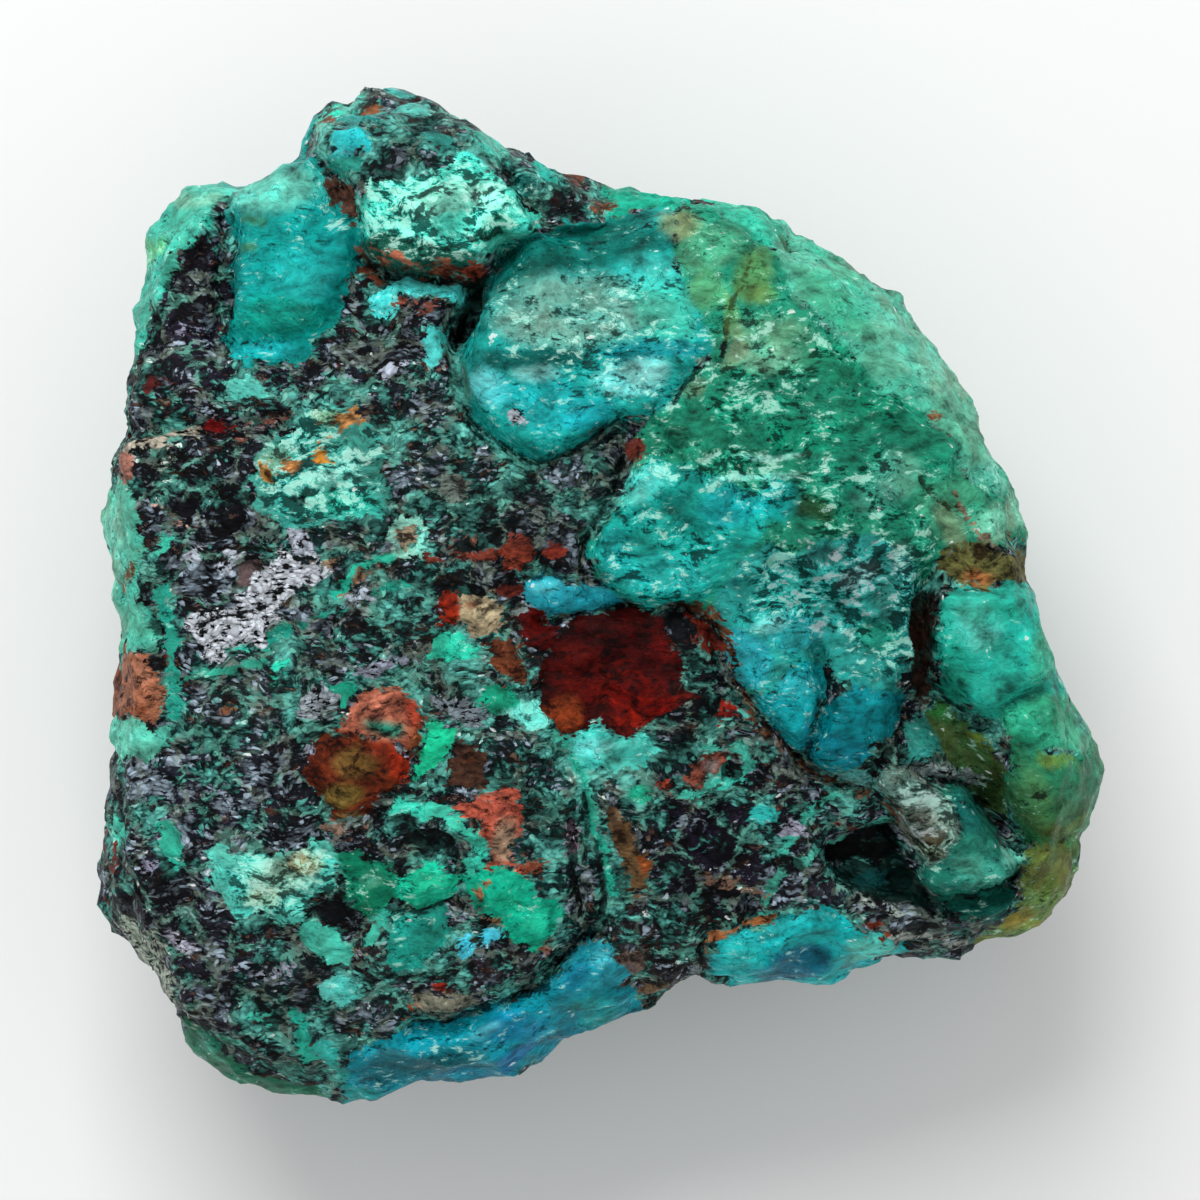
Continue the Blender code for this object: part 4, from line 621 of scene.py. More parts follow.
    ("58c4b4", -15.6, 4.8, 0.9, 0.5, 0, 0.4), ("b8a878", -13.4, 9, 0.8, 0.4, 0, 0.6),
    ("9ab898", -16.2, 6.8, 0.8, 0.7, 0, 0.5), ("a4d8bc", -24.2, 3, 0.6, 2.2, 0, 0.5),
    ("58b498", -23.4, -1.6, 0.9, 0.8, 0, 0.5), ("88d0b8", -23.6, -6.9, 1, 0.5, 0, 0.4),
    ("7a6f74", -9.6, 21.4, 1.3, 0.5, -10, 0.7), ("2f8a84", -11.8, 23.8, 1.8, 0.5, 10, 0.7),
    ("1c3a40", -9.6, 23.4, 1.8, 0.6, 0, 0.8), ("4f9c8c", -7.6, 23.6, 1.2, 0.35, -20, 0.6),
    ("4cb8b8", -13.4, 22.4, 0.9, 0.5, 0, 0.6), ("1a3a38", -2.6, 20.2, 1.4, 0.5, -20, 0.8),
    ("4f9484", -4, 21.4, 0.8, 0.4, -20, 0.6), ("9adcd8", -0.4, -7.2, 1, 0.5, 0, 0.5),
    ("2a9a90", 1.6, -7.6, 0.9, 0.4, 0, 0.5),
]

rusts = {
    "patches": [
        ("5c4034", [(-13.6, 21.2), (-12.9, 20.9), (-12.2, 20.2), (-11.9, 19.2), (-12.2, 18.6), (-13, 19.3),
            (-13.5, 20)]),
        ("6e3c2c", [(-12, 16.9), (-11, 16.5), (-10.4, 15.6), (-11.2, 15.4), (-12, 16)]),
        ("9a6a5c", [(-25.5, 7.6), (-24, 8), (-23.2, 7.2), (-23.1, 6.4), (-23.6, 6), (-24.2, 6.5)]),
        ("a0654a", [(-25.5, -2.9), (-23.8, -2.9), (-23.1, -2.4), (-22.4, -3), (-21.7, -4.3), (-21.9, -5.3),
            (-22.1, -6.3), (-22.9, -6), (-23.6, -5.5), (-24.1, -5.8), (-23.9, -4.5), (-24.3, -3.4)]),
        # ringed clast and its dark lower lobe
        ("a8604a", [(-12.4, -5.3), (-11.5, -4.6), (-10, -4.3), (-9.2, -5), (-8.6, -5.9), (-8.9, -6.8),
            (-9.3, -7.6), (-10.2, -6.9), (-11.5, -6.9), (-12.6, -6.6)]),
        ("6b2a14", [(-13.7, -6.4), (-12.6, -6.6), (-11.5, -6.9), (-10.2, -6.9), (-9.6, -7.4), (-9.4, -8.3),
            (-9.8, -9.1), (-10.6, -9.6), (-11.6, -10.6), (-12.9, -10.9), (-13.4, -10.4), (-14.2, -9.4),
            (-14.6, -8.6), (-14.4, -7.2)]),
        # deep red lens and what lies round it
        ("3c0503", [(-1.8, -1.6), (-1, -1), (0.2, -0.7), (1.5, -0.5), (2.9, -0.6), (3.3, -1.3), (3.6, -2),
            (4.2, -2.8), (4.4, -3.4), (4, -4.2), (4.8, -4.9), (3.6, -5.3), (2.8, -5.9), (2.2, -6.3),
            (1.2, -6.7), (0.6, -6.4), (0, -5.9), (-0.9, -6.2), (-1.6, -6.6), (-2.4, -5.9), (-2.8, -5),
            (-3.1, -4.2), (-3, -3), (-2.2, -2.2)]),
        ("520804", [(-4.2, -0.7), (-3.4, -0.4), (-2.3, -1), (-2, -1.6), (-2.6, -2.6), (-3.4, -2.4),
            (-4, -1.7)]),
        ("6f3a22", [(-5.8, -2.1), (-5, -1.7), (-4.4, -2.3), (-3.4, -3.8), (-3.6, -4.5), (-5.2, -3.2)]),
        ("8c240c", [(-7.9, 0.2), (-7, 0.4), (-6.9, -0.6), (-7.1, -1.1), (-7.9, -1.3)]),
        ("a89878", [(-6.8, 0.2), (-5.4, 0.3), (-4.7, -0.4), (-4.8, -1.4), (-6, -1.7), (-6.8, -0.9)]),
        ("6a2418", [(4.4, -0.5), (5.2, -0.8), (6, -1.6), (6.3, -2.4), (6, -2.8), (5.4, -2.2), (4.3, -1)]),
        ("7a3222", [(-5, 2.7), (-4.3, 3.3), (-3.3, 2.9), (-3.2, 2.4), (-3.9, 1.8), (-4.6, 1.6)]),
        # salmon patch, brown block, spindles, iron-stained rim by the valley
        ("b85844", [(-7.3, -10.3), (-6.6, -10), (-5.6, -9.9), (-5, -9.3), (-4.3, -9.1), (-4.1, -10),
            (-3.9, -10.8), (-4.2, -11.8), (-4.6, -12.6), (-3.2, -13.2), (-5.3, -13.1), (-5.5, -12.2),
            (-5.9, -11.2), (-6.8, -10.9)]),
        ("4a3024", [(-7.4, -7.3), (-6.3, -7), (-5.6, -7.6), (-5.6, -8.8), (-6.3, -9.4), (-7.3, -9.2)]),
        ("8a4a3a", [(4.2, -9), (4.5, -8.3), (5.2, -7.9), (6.4, -7.3), (6.5, -7.6), (5.6, -8.5), (5, -9.2),
            (4.5, -9.4)]),
        ("6e5436", [(0.1, -10.2), (0.9, -10.2), (1.6, -11.6), (2.3, -12.8), (2.6, -14.2), (1.8, -14.6),
            (1.2, -13.4), (0.6, -12)]),
        ("6b6a3c", [(16.9, 2.3), (18, 2.7), (19, 2.9), (20.2, 2.3), (21.8, 2.1), (22, 1.2), (20.9, 0.7),
            (20.3, 1.2), (19.3, 0.7), (18.3, 0.8), (17.3, 1), (16.8, 1.6)]),
        ("8a8a78", [(-9.5, -19.9), (-8.2, -19.5), (-6.6, -19.6), (-5.9, -20), (-6.8, -20.5),
            (-8.6, -20.6)]),
    ],
    "spots": [
        ("7d1414", -19, 8.55, 0.65, 0.35, 0), ("6a2418", -2.1, 2.4, 0.55, 0.4, 0),
        ("5a2018", -4.4, 0.5, 0.4, 0.35, 0), ("8a1c10", 6.1, -5.6, 0.45, 0.35, 0),
        ("8a2a1a", 12.5, -11.4, 0.4, 0.25, 0), ("8a3a20", 13.7, -16.2, 0.35, 0.25, 0),
        ("8a3a20", 14.5, -16.6, 0.3, 0.25, 0), ("a0522c", -9.3, -20.4, 0.35, 0.25, 0),
        ("9a2a1a", -7.9, -19.2, 0.3, 0.22, 0), ("b8804a", -12.4, 9, 0.8, 0.35, 20),
        ("c08030", -13.6, 7.2, 0.5, 0.4, 40), ("b8804a", -15.2, 6.6, 0.7, 0.35, 10),
        ("c89048", -16.5, 6.2, 0.3, 0.5, 20), ("9a8a70", -9.5, 3.1, 0.55, 0.45, 0),
        ("6f7d74", -7.3, 5.6, 0.75, 0.6, 0), ("a5673a", 18.8, 1.1, 0.8, 0.35, 0),
        ("8a3c26", -7.2, 16.3, 0.6, 0.18, 0), ("b0452e", -6.2, 16.3, 0.7, 0.16, -3),
        ("8a5434", -11.5, 24.8, 0.5, 0.4, 0), ("7a5a48", -13.7, 24, 0.35, 0.3, 0),
        ("6a4030", -1, 20.8, 0.5, 0.35, 0), ("7a5038", 0.2, 19.6, 0.5, 0.4, 0),
        ("3f2c24", 5.4, 20, 0.6, 0.45, 0), ("9c8468", 0.8, -10.8, 0.4, 0.25, 60),
        ("8a6c4c", 16.4, 9, 0.22, 0.16, 0), ("7a3226", -3.2, -10.2, 0.25, 0.2, 0),
        ("a8402c", 3.2, -9.3, 0.3, 0.2, 0), ("8a6a58", 6.6, -14, 1.2, 0.22, -20),
        ("5a4a4a", -17.2, 1.2, 0.85, 0.75, 20), ("9a6a48", -5.9, -14.5, 0.22, 0.35, 0),
        ("8a4a34", -3.2, -13, 0.5, 0.35, -10), ("a06a54", -2.6, -17.3, 0.4, 0.3, 0),
        ("d8a898", -21.05, 3.9, 0.4, 0.16, -35), ("7a6248", 2.7, -19.5, 0.9, 0.5, 10),
        ("6a5a50", 1.5, -17.9, 0.7, 0.5, 0), ("8a7060", -13, -11.4, 0.5, 0.25, 0),
        ("5c2220", -22.1, 10.6, 0.5, 0.2, 20), ("7a3a30", 4.6, -2, 0.3, 0.15, 40),
        ("a07a58", -11.9, -17.4, 0.25, 0.2, 0), ("94704c", -5.2, -16, 0.4, 0.22, 0),
        ("2f8f78", -10.6, -6.3, 0.85, 0.36, -10), ("6a4436", 16.2, -4.2, 0.35, 0.6, 0),
        ("8a5c40", -18.4, -5.6, 0.45, 0.25, 30), ("a08468", -13.4, 1.6, 0.5, 0.18, 30),
        ("94745c", -11.8, 1, 0.6, 0.14, 30), ("8a5a4a", -6.4, 2.9, 0.4, 0.3, 0),
        ("6a3026", 1.6, 7.2, 0.5, 0.5, 20),
    ],
    "veins": [
        ("8a4f3f", 0.35, [(-10, 15), (-9.2, 14.6), (-8, 14.4)]),
        ("8a5a4c", 0.28, [(-18, 8), (-16.8, 8.8), (-15.5, 9.3)]),
        ("7a5a3c", 0.2, [(-22.8, 2.5), (-23.2, 1.6), (-23.5, 0.8), (-23.9, -0.2)]),
        ("7a2a20", 0.4, [(-24.6, -11.6), (-24.5, -12.4), (-24.2, -13.2)]),
        ("a8683c", 0.28, [(5.2, -17.2), (6.2, -16.4), (7.2, -16.1), (8.4, -16)]),
        ("6f4a34", 0.22, [(4.2, -0.3), (5.2, -0.5), (6, -1.4), (6.3, -2.6), (6.6, -3.8), (7.3, -5),
            (8.2, -6.2), (9.2, -7.4), (10.3, -8.3), (11.5, -9.1), (13, -9.5), (14, -9.9), (14.8, -10.9)]),
        ("8a8068", 0.2, [(17.4, 5.2), (17.8, 4.2), (18.6, 3.4), (20, 2.7)]),
        ("a06048", 0.25, [(-12, 17.2), (-9.6, 16.6), (-7.2, 16.4)]),
        ("7c3a2c", 0.25, [(-8.3, 2), (-7.2, 2.3), (-5.6, 2.2)]),
        ("94522e", 0.25, [(-8.6, -5.7), (-9, -6.8), (-9.5, -7.7)]),
    ],
}

rustShades = [
    ("3a2414", 0.9, -11.2, 0.9, 0.3, -60, 0.8), ("94481c", 2.1, -13.2, 0.5, 0.3, -60, 0.8),
    ("8a4a28", -9, -7, 0.5, 1, 10, 0.5), ("9a2a12", -9.8, -8, 0.6, 0.9, 0, 0.85),
    ("6a5428", -12, -8, 1, 0.8, 0, 0.8), ("7a6a30", -12.7, -9.6, 0.9, 0.6, 0, 0.8),
    ("a8844c", -12.4, -10.7, 0.6, 0.25, 0, 0.7), ("3a1408", -11.4, -8.9, 0.5, 0.4, 0, 0.7),
    ("8a2a14", -11, -7.4, 0.7, 0.35, 0, 0.6), ("b87058", -11.2, -5.2, 0.9, 0.4, 20, 0.5),
    ("a83018", -9.1, -5.6, 0.4, 0.8, 30, 0.7), ("3a0404", 1, -1.9, 2.4, 0.9, -5, 0.9),
    ("6c0c04", 1.6, -4.6, 2.2, 1.2, -20, 0.85), ("5a0c06", -1, -3.6, 1, 1.4, 20, 0.7),
    ("8a3a18", -1.9, -5.6, 0.9, 0.9, 0, 0.85), ("a0200e", 1.6, -6, 0.9, 0.4, 0, 0.6),
    ("5a0a06", 3.2, -2.2, 0.7, 0.9, 0, 0.6), ("7a1c10", 4.2, -4.9, 0.6, 0.3, 0, 0.6),
    ("c86450", -4.9, -9.9, 0.7, 0.5, 0, 0.7), ("a8967c", -4.8, -12, 0.6, 0.8, 0, 0.8),
    ("9a8068", -4.6, -11.2, 0.4, 0.4, 0, 0.6), ("6b3a20", -6.4, -7.8, 0.4, 0.3, 0, 0.5),
    ("a85a34", -23, -5.6, 0.5, 0.4, 0, 0.6), ("b88068", -22.8, -3.6, 0.6, 0.6, 0, 0.4),
    ("d8c8a0", -5.6, -0.6, 0.5, 0.4, 0, 0.5), ("8a3a1c", -6.2, -0.2, 0.3, 0.2, 0, 0.6),
    ("7a8a8a", 5.4, -8.2, 0.4, 0.3, 30, 0.5),
]

silvers = {
    "patches": [
        ("c2c8d0", [(-20.5, -1), (-19.6, -0.4), (-18, -0.4), (-17.2, 0.6), (-15.8, 2.2), (-14.5, 1.4),
            (-14, 2.2), (-13.6, 1.4), (-13.8, 0.8), (-15, 0.7), (-15.9, -0.2), (-16, -1), (-16.6, -1.4),
            (-16.9, -2.2), (-17.6, -1.9), (-18.8, -2.2), (-18.6, -3), (-19.6, -2.7), (-20, -1.8)]),
        ("a8b0bc", [(-20.8, 1.4), (-20.3, 2.2), (-19.7, 2.5), (-19.8, 1.9)]),
        ("b0b8c4", [(-19.1, 1.4), (-18.1, 2.3), (-17.5, 2.1), (-18.4, 1.3)]),
        ("a4acb8", [(-15.4, 3.2), (-14.6, 3.5), (-14.2, 2.4), (-15, 2.3)]),
        ("a8b4c0", [(-12.6, 0.2), (-11.6, 0.6), (-11.2, 0.2), (-12.2, -0.2)]),
        ("8a90a0", [(-12, -3.4), (-11, -2.9), (-10.4, -3.3), (-11.4, -3.8)]),
        ("9aa4ac", [(-14.6, -4.8), (-13.6, -4.2), (-13, -4.8), (-13.8, -5.6), (-14.8, -5.6)]),
    ],
    "spots": [
        ("7f8c94", -6.8, -5.4, 1, 0.5, -15), ("8a90a0", -9.8, -3, 0.5, 0.25, 10),
        ("a0a8b0", -3.9, 9, 0.3, 0.2, 0), ("8c8aa0", -20.6, 13.4, 0.35, 0.2, 30),
        ("9aa0b0", -14.4, -7.4, 0.3, 0.25, 0), ("a8a8b8", -21, -17, 0.6, 0.35, -30),
        ("9aa0b0", -16.4, -18.6, 0.5, 0.25, 20), ("8a8aa0", -22.4, -13.2, 0.4, 0.25, 40),
        ("a8b0c0", -10.4, 11.2, 0.35, 0.2, 30), ("a898a8", -1.5, -11.8, 0.45, 0.25, 80),
        ("a0a0b4", 9.6, -11.4, 0.4, 0.2, 0),
    ],
    "veins": [
        ("9aa898", 0.5, [(-25.3, -15), (-24.3, -16), (-23, -16.6), (-22.2, -17.4), (-21.8, -18.4),
            (-21.5, -19.6), (-21, -20.8), (-20.6, -21.4)]),
        ("a8a090", 0.25, [(-23.5, 7.6), (-21.5, 8), (-20, 8.5)]),
        ("8a9a98", 0.3, [(16, -8.6), (17.4, -8.6), (18.8, -8.9)]),
        ("9aa8a0", 0.2, [(13.3, -14.9), (14, -15.2), (14.8, -15.5)]),
        ("8c948c", 0.4, [(14.8, -16.7), (16.4, -16.9), (18, -17.3)]),
    ],
}

# Dark layer: mostly painted shade and shadow, near black, in the modelled crevices and seams, in the sunk
# cave and under the knob's overhang, with a few dark veins and patches of the stone's own colour.
darksAndPaintedShade = {
    "patches": [
        ("050608", [(-4.8, 17.2), (-5.2, 16.6), (-6, 15.6), (-6.8, 15), (-7.2, 14.2), (-7.3, 12.8),
            (-6.8, 12.6), (-6.2, 13.4), (-5.8, 14.4), (-5.9, 15.4), (-5.3, 16.3)]),
        ("060a0a", [(11.2, -12.3), (12.6, -11.8), (14.5, -11.1), (14.9, -12), (14.8, -13), (11.4, -13.2)]),
        ("08201c", [(14.8, -12.6), (15.4, -13), (16, -14), (16.9, -15.6), (15, -15.3), (12.4, -14.6),
            (11.4, -13.4), (14, -13.4)]),
        ("06080c", [(-14.6, -15.6), (-13, -14.9), (-12.2, -16.6), (-12.9, -16.4), (-14, -15.8)]),
        ("2a1a12", [(15.3, 0), (16.5, 0.4), (16.7, -1), (16.6, -3), (16.9, -4.6), (15.9, -4.8),
            (15.6, -3)]),
        ("04080a", [(18.6, -9.3), (19.2, -10), (19.8, -10.8), (20.2, -11.2), (19.6, -11.2), (18.9, -10.2)]),
        ("0a0c10", [(3.2, -0.8), (3.9, -0.7), (4.6, -2.1), (5.2, -3.4), (4.8, -3.8), (4.4, -3),
            (3.6, -1.8)]),
    ],
    "spots": [
        ("06080a", -6.3, 17.9, 0.3, 0.22, 0), ("06080a", -5.5, 17.9, 0.25, 0.2, 0),
        ("081410", 21.9, -9.7, 0.38, 0.2, 0), ("0c1a14", 8.2, 7.9, 0.22, 0.18, 0),
        ("0a1212", -8.6, -12, 1.3, 0.75, -10), ("0a1010", 13.8, -8, 0.55, 0.16, 0),
        ("0c0c12", -20.5, 4.6, 1, 0.5, 40), ("08080c", -18.6, 3.6, 1.2, 0.4, 30),
        ("0a0a10", -14.8, 5, 0.3, 0.2, 0), ("1c2a24", -10.9, -6.55, 0.35, 0.1, -20),
        ("1c2a24", -10.1, -6.2, 0.3, 0.1, 30), ("08080c", -22.2, -1.4, 0.2, 0.7, 0),
        ("101014", 6.6, -8.5, 0.6, 0.5, 0), ("0a0a10", -3.4, -8, 0.5, 0.25, -20),
        ("08080c", -16.6, 16.9, 0.12, 0.1, 0), ("0e0e14", -18, 4.8, 0.8, 0.35, 40),
        ("0a0c0e", 9.4, -13.2, 0.6, 0.35, 0),
    ],
    "veins": [
        ("080a0c", 0.3, [(-12.2, 17), (-11.2, 16.6), (-9.5, 16.2), (-8.2, 16.05), (-6.6, 16.05),
            (-5.6, 16)]),
        ("0a0e0e", 0.22, [(-7.3, 9.4), (-6.3, 8.7), (-5, 7.9), (-4, 7.2), (-3, 6.95), (-1.8, 7.2),
            (-0.8, 7.8), (0, 8.4), (1, 9)]),
        ("0c1412", 0.16, [(6.3, 12.8), (5.9, 12), (4.9, 11.5), (4.2, 10.6), (3.6, 9.8)]),
        ("4a5a24", 0.16, [(7.6, 17.6), (7.3, 16), (6.6, 14.6), (6.4, 13.8), (6.3, 12.8)]),
        ("080808", 0.16, [(-3.9, 1.2), (-2.6, 1.3), (-1.6, 0.95), (0, 0.9), (0.7, 0.5)]),
        ("050505", 0.16, [(-2.1, -1), (-1, -0.75), (1.5, -0.35), (3.4, -0.35), (4.4, -0.4)]),
        ("0c0c0c", 0.14, [(4.5, -0.5), (5.6, -1), (6.4, -2.6), (6.9, -4.2), (7.6, -5.2), (8.6, -6.5),
            (9.6, -7.6), (10.8, -8.6), (12.4, -9.3)]),
        ("080c0c", 0.2, [(11.4, -3.2), (11.35, -4.8), (10.95, -5.6), (10.6, -6.8), (10.3, -7.6)]),
        ("0a100e", 0.24, [(15.4, -4.8), (15.2, -6), (14.9, -7), (14.3, -7.9), (13.6, -8.7)]),
        ("060808", 0.22, [(16.2, -9.15), (17.4, -9.1), (18.7, -9.2)]),
        ("2a3a20", 0.14, [(16, 6), (16.6, 5), (17.2, 4.3)]),
        ("06080a", 0.3, [(-9, -21.2), (-7, -20.9), (-5, -20.2), (-3, -19.8), (-2.6, -19.4)]),
        ("06080a", 0.22, [(-2.8, -19.2), (-2.1, -18.3), (-1.4, -17.3), (-0.7, -16.7), (0.3, -16.9)]),
        ("0a1214", 0.16, [(-0.9, -9.6), (-0.6, -11), (-0.9, -13)]),
        ("0a0a10", 0.18, [(-20.8, 8.4), (-18, 8.15), (-16.8, 8.3)]),
        ("0a1010", 0.16, [(-18.6, 12.95), (-17, 12.8), (-15.2, 12.95)]),
        ("0c1414", 0.14, [(-18.5, 20.3), (-18.2, 18.4), (-18.4, 16.5), (-18.4, 14.8), (-18.8, 13.2)]),
        ("0a0e10", 0.16, [(16.8, 0.6), (16.7, -1.6), (16.9, -3.8), (17.4, -5), (18.5, -5.6), (19.4, -6)]),
        ("0a0c0c", 0.2, [(17, -15.3), (18.8, -14.9), (20.8, -14.2), (21.2, -13.6)]),
        ("0a0c10", 0.22, [(4.9, -17.2), (5.3, -18.6), (5.2, -19.6)]),
        ("101418", 0.25, [(-11.8, -18.9), (-10.4, -19), (-8.4, -18.8), (-7.2, -18.6)]),
        ("06080a", 0.25, [(-12.6, -11.9), (-11.6, -11.2), (-10.6, -10.4)]),
        ("080a10", 0.2, [(-10.4, -15.6), (-9.2, -15.3), (-8, -15.3), (-7.2, -15)]),
        ("0c0c10", 0.25, [(-22.3, 12.6), (-22.2, 14.2), (-21.4, 15.6), (-20.6, 17), (-20.2, 18)]),
        ("070a0c", 0.2, [(-16.2, 0.2), (-16.9, -0.4), (-18.4, -0.7), (-19.8, -1.4)]),
        ("06080c", 0.35, [(-1.5, -11), (-1.6, -13.4), (-1.1, -15.8)]),
        ("06080c", 0.25, [(-0.2, -12.2), (0.2, -14), (0.3, -15.8)]),
        ("080a0c", 0.14, [(-18.9, -2.5), (-17.4, -2.6), (-16.6, -2.4)]),
        ("0a1210", 0.2, [(2.3, 9), (1.4, 8.2), (1, 6.8), (0.8, 5.6), (-0.4, 3.9), (-1, 2.2), (-0.6, 0.9)]),
    ],
}

# Shades of the dark groundmass: colour, x, y, half length, half width, turn, strength, share of teal
# crumbs, share of grey crumbs.
matrixShades = [
    ("2a2030", -20.3, 14.5, 2.4, 4.5, 15, 0.9, -0.25, 0.3),
    ("1c1c26", -12, 12, 6, 3.2, -10, 0.8, 0.22, 0.45), ("1c3a3a", -10, 23, 6.5, 2.8, -10, 1, 0.45, 0.4),
    ("2a3a3c", -2.4, 20.6, 3.4, 1.8, -25, 1, 0.35, 0.4),
    ("14161c", -18.5, 5.5, 4.5, 3.5, 35, 0.8, 0.05, 0.4), ("101218", -19.5, 1, 3.5, 4, 0, 0.8, 0, 0.5),
    ("16302c", -8, 6, 4.5, 5, 0, 0.8, 0.42, 0.32), ("3c5450", -1, 5.2, 3, 2.2, 20, 0.7, 0.4, 0.5),
    ("102a26", -7, -3.6, 5, 3.4, 0, 0.8, 0.55, 0.22), ("12403a", -2, -9.5, 4.5, 4, 0, 0.8, 0.66, 0.2),
    ("201626", 6, -12, 3.6, 3.6, 0, 0.95, -0.1, 0.3), ("3a3038", 9.5, -14.6, 2.2, 1.6, 0, 0.6, 0.12, 0.4),
    ("24202c", -19.5, -9.5, 4.5, 5, 0, 0.8, 0.2, 0.5), ("2c2430", -19, -17.5, 6, 4.2, -25, 0.8, 0.02, 0.46),
    ("34282a", -8, -18.6, 6.5, 2.4, 5, 0.8, 0.2, 0.38),
    ("20403c", -13.5, -20.5, 5, 2.6, -10, 0.7, 0.4, 0.34),
    ("382c28", 2.6, -17.2, 2.6, 2, 0, 0.8, 0.2, 0.34),
    ("2c3a34", -16.2, -4.2, 4.5, 2.2, 25, 0.7, 0.18, 0.42),
    ("14403a", -3.4, -11.8, 2.2, 3.6, 0, 0.7, 0.6, 0.22),
    ("1c3834", -7.6, -12, 2.6, 1.6, 0, 0.7, 0.5, 0.22), ("2a2832", 12.5, -15.8, 4, 1.4, 0, 0.7, 0.2, 0.36),
    ("4a4a48", 16.4, -16.4, 3, 1.4, -10, 0.8, 0.2, 0.55), ("2e2a20", 18, -8.8, 2, 1, 0, 0.7, 0.3, 0.3),
    ("4a4a48", 15.6, -10.4, 1.8, 2, 0, 0.8, 0.2, 1), ("3a4244", 11.6, 0.8, 4, 3, 0, 0.8, 0.4, 1),
    ("2c302e", 0.5, 20.3, 5, 1.4, -5, 0.6, 0.4, 0.4), ("201c28", -15.2, 10.6, 3.5, 1.4, 20, 0.7, 0.15, 0.4),
    ("163834", -12.6, 2.4, 3.4, 2, 20, 0.6, 0.5, 0.3), ("1a1a20", -10.6, 13.2, 3.2, 1.8, 0, 0.6, 0.1, 0.4),
    ("143c38", 3.6, -7.4, 3, 1.2, 10, 0.7, 0.6, 0.2), ("2c2834", 2.4, -13.8, 2.2, 2.4, 10, 0.6, 0.35, 0.3),
    ("163430", -1, -15, 2.4, 2.4, 0, 0.6, 0.4, 0.3),
]

# Clasts that show on the sides and underneath: colour, centre, half sizes, turn about the upright.
sideClasts = [
    ("5cb898", (20, 10, 12), (6, 7, 6), 30), ("2f9a7c", (14, 14, 7), (6, 4, 3.6), -40),
    ("4aa888", (9, 18, 12), (6, 4, 5.5), 0), ("79c2a4", (16, 12, 16), (6, 5, 3), -30),
    ("3a8a62", (24, -8, 13), (4, 6, 4.2), 0), ("1f8a7c", (20, -2, 7), (4, 4, 4), 0),
    ("7a7a3c", (22, -15, 12), (4, 3, 3.2), 0), ("1a9aa0", (9, -20, 13), (6, 3, 3.6), 0),
    ("126f94", (-4, -23, 12), (6, 4, 4.4), 10), ("0f5f86", (-9, -22, 8), (4, 3, 2.6), 0),
    ("2f6f55", (-18, -24, 12), (5, 3, 3), -20), ("3f8f70", (-13, -22, 5.5), (3.4, 3, 1.8), 0),
    ("7dc7a8", (-25, 3, 14), (3, 4.6, 3.6), 0), ("58b49c", (-24, -2, 7.5), (3, 3.6, 2.4), 0),
    ("5fb49c", (-25, -10, 11), (3, 3.2, 2.6), 0), ("86c4aa", (-22, 9, 7), (3, 3.4, 2.2), 0),
    ("4fae98", (-23, 16, 12), (4, 4.4, 5), 0), ("1f9a92", (-16, 21, 13), (4, 3, 4.6), 0),
    ("2a8f8a", (-13, 21, 6.5), (3.6, 3, 2.2), 0), ("2f5f5c", (-10, 25, 13), (4.4, 3, 4.4), 0),
    ("1fa78a", (1, 21, 13), (6, 3, 4.6), 0), ("2c9f98", (5, 18, 6), (4.4, 3, 2), 0),
    ("30b0a0", (-8, 15, 2.6), (5, 5, 2.6), 20), ("2c8f86", (8, -11, 2), (6, 4, 2.4), 0),
    ("1f88a0", (16, -14, 6.5), (3.4, 3, 2), 0), ("74b8a4", (13, -17, 9), (2.4, 3, 1.7), 0),
    ("3fa890", (0, -19, 6.5), (3, 3, 1.8), 0), ("1c9c8c", (-14, -8, 2), (4, 6, 2.4), 30),
    ("46b494", (4, 8, 0), (6, 4, 2), -20), ("147a94", (-2, -6, 0), (4, 3, 1.6), 40),
    ("58b49c", (17, 5, 2.6), (4, 4, 2.4), 0), ("2a9a7e", (-20, -14, 6.5), (3, 3, 2), 0),
    ("3f9f9a", (-19, 6, 2), (2.6, 4, 1.6), 0), ("66b898", (21, 2, 13), (2.4, 4, 3.4), 0),
]
sideRusts = [
    ("8a4a34", (-22, -15, 9), (2, 2.2, 1.7), 0), ("7a2416", (11, 17, 6.5), (2.2, 2, 1.3), 0),
    ("a0654a", (-24, 8, 10), (2, 1.8, 1.8), 0), ("4e0806", (-10, -4, 0), (3, 2, 1.2), 30),
    ("8a5a40", (21, -10, 7), (2.5, 2, 1.8), 0), ("8a3a20", (5, -19, 8), (2.3, 2, 1.5), 0),
    ("a05a3c", (-6, 20, 7.5), (2.5, 2, 1.5), 0), ("6b2a14", (7, 2, 0), (2, 2.6, 1.2), 0),
    ("9a4a2c", (-13, -21, 14), (1.8, 2, 1.2), 0), ("70382a", (-23, -5, 14.5), (1.4, 1.6, 1.2), 0),
]

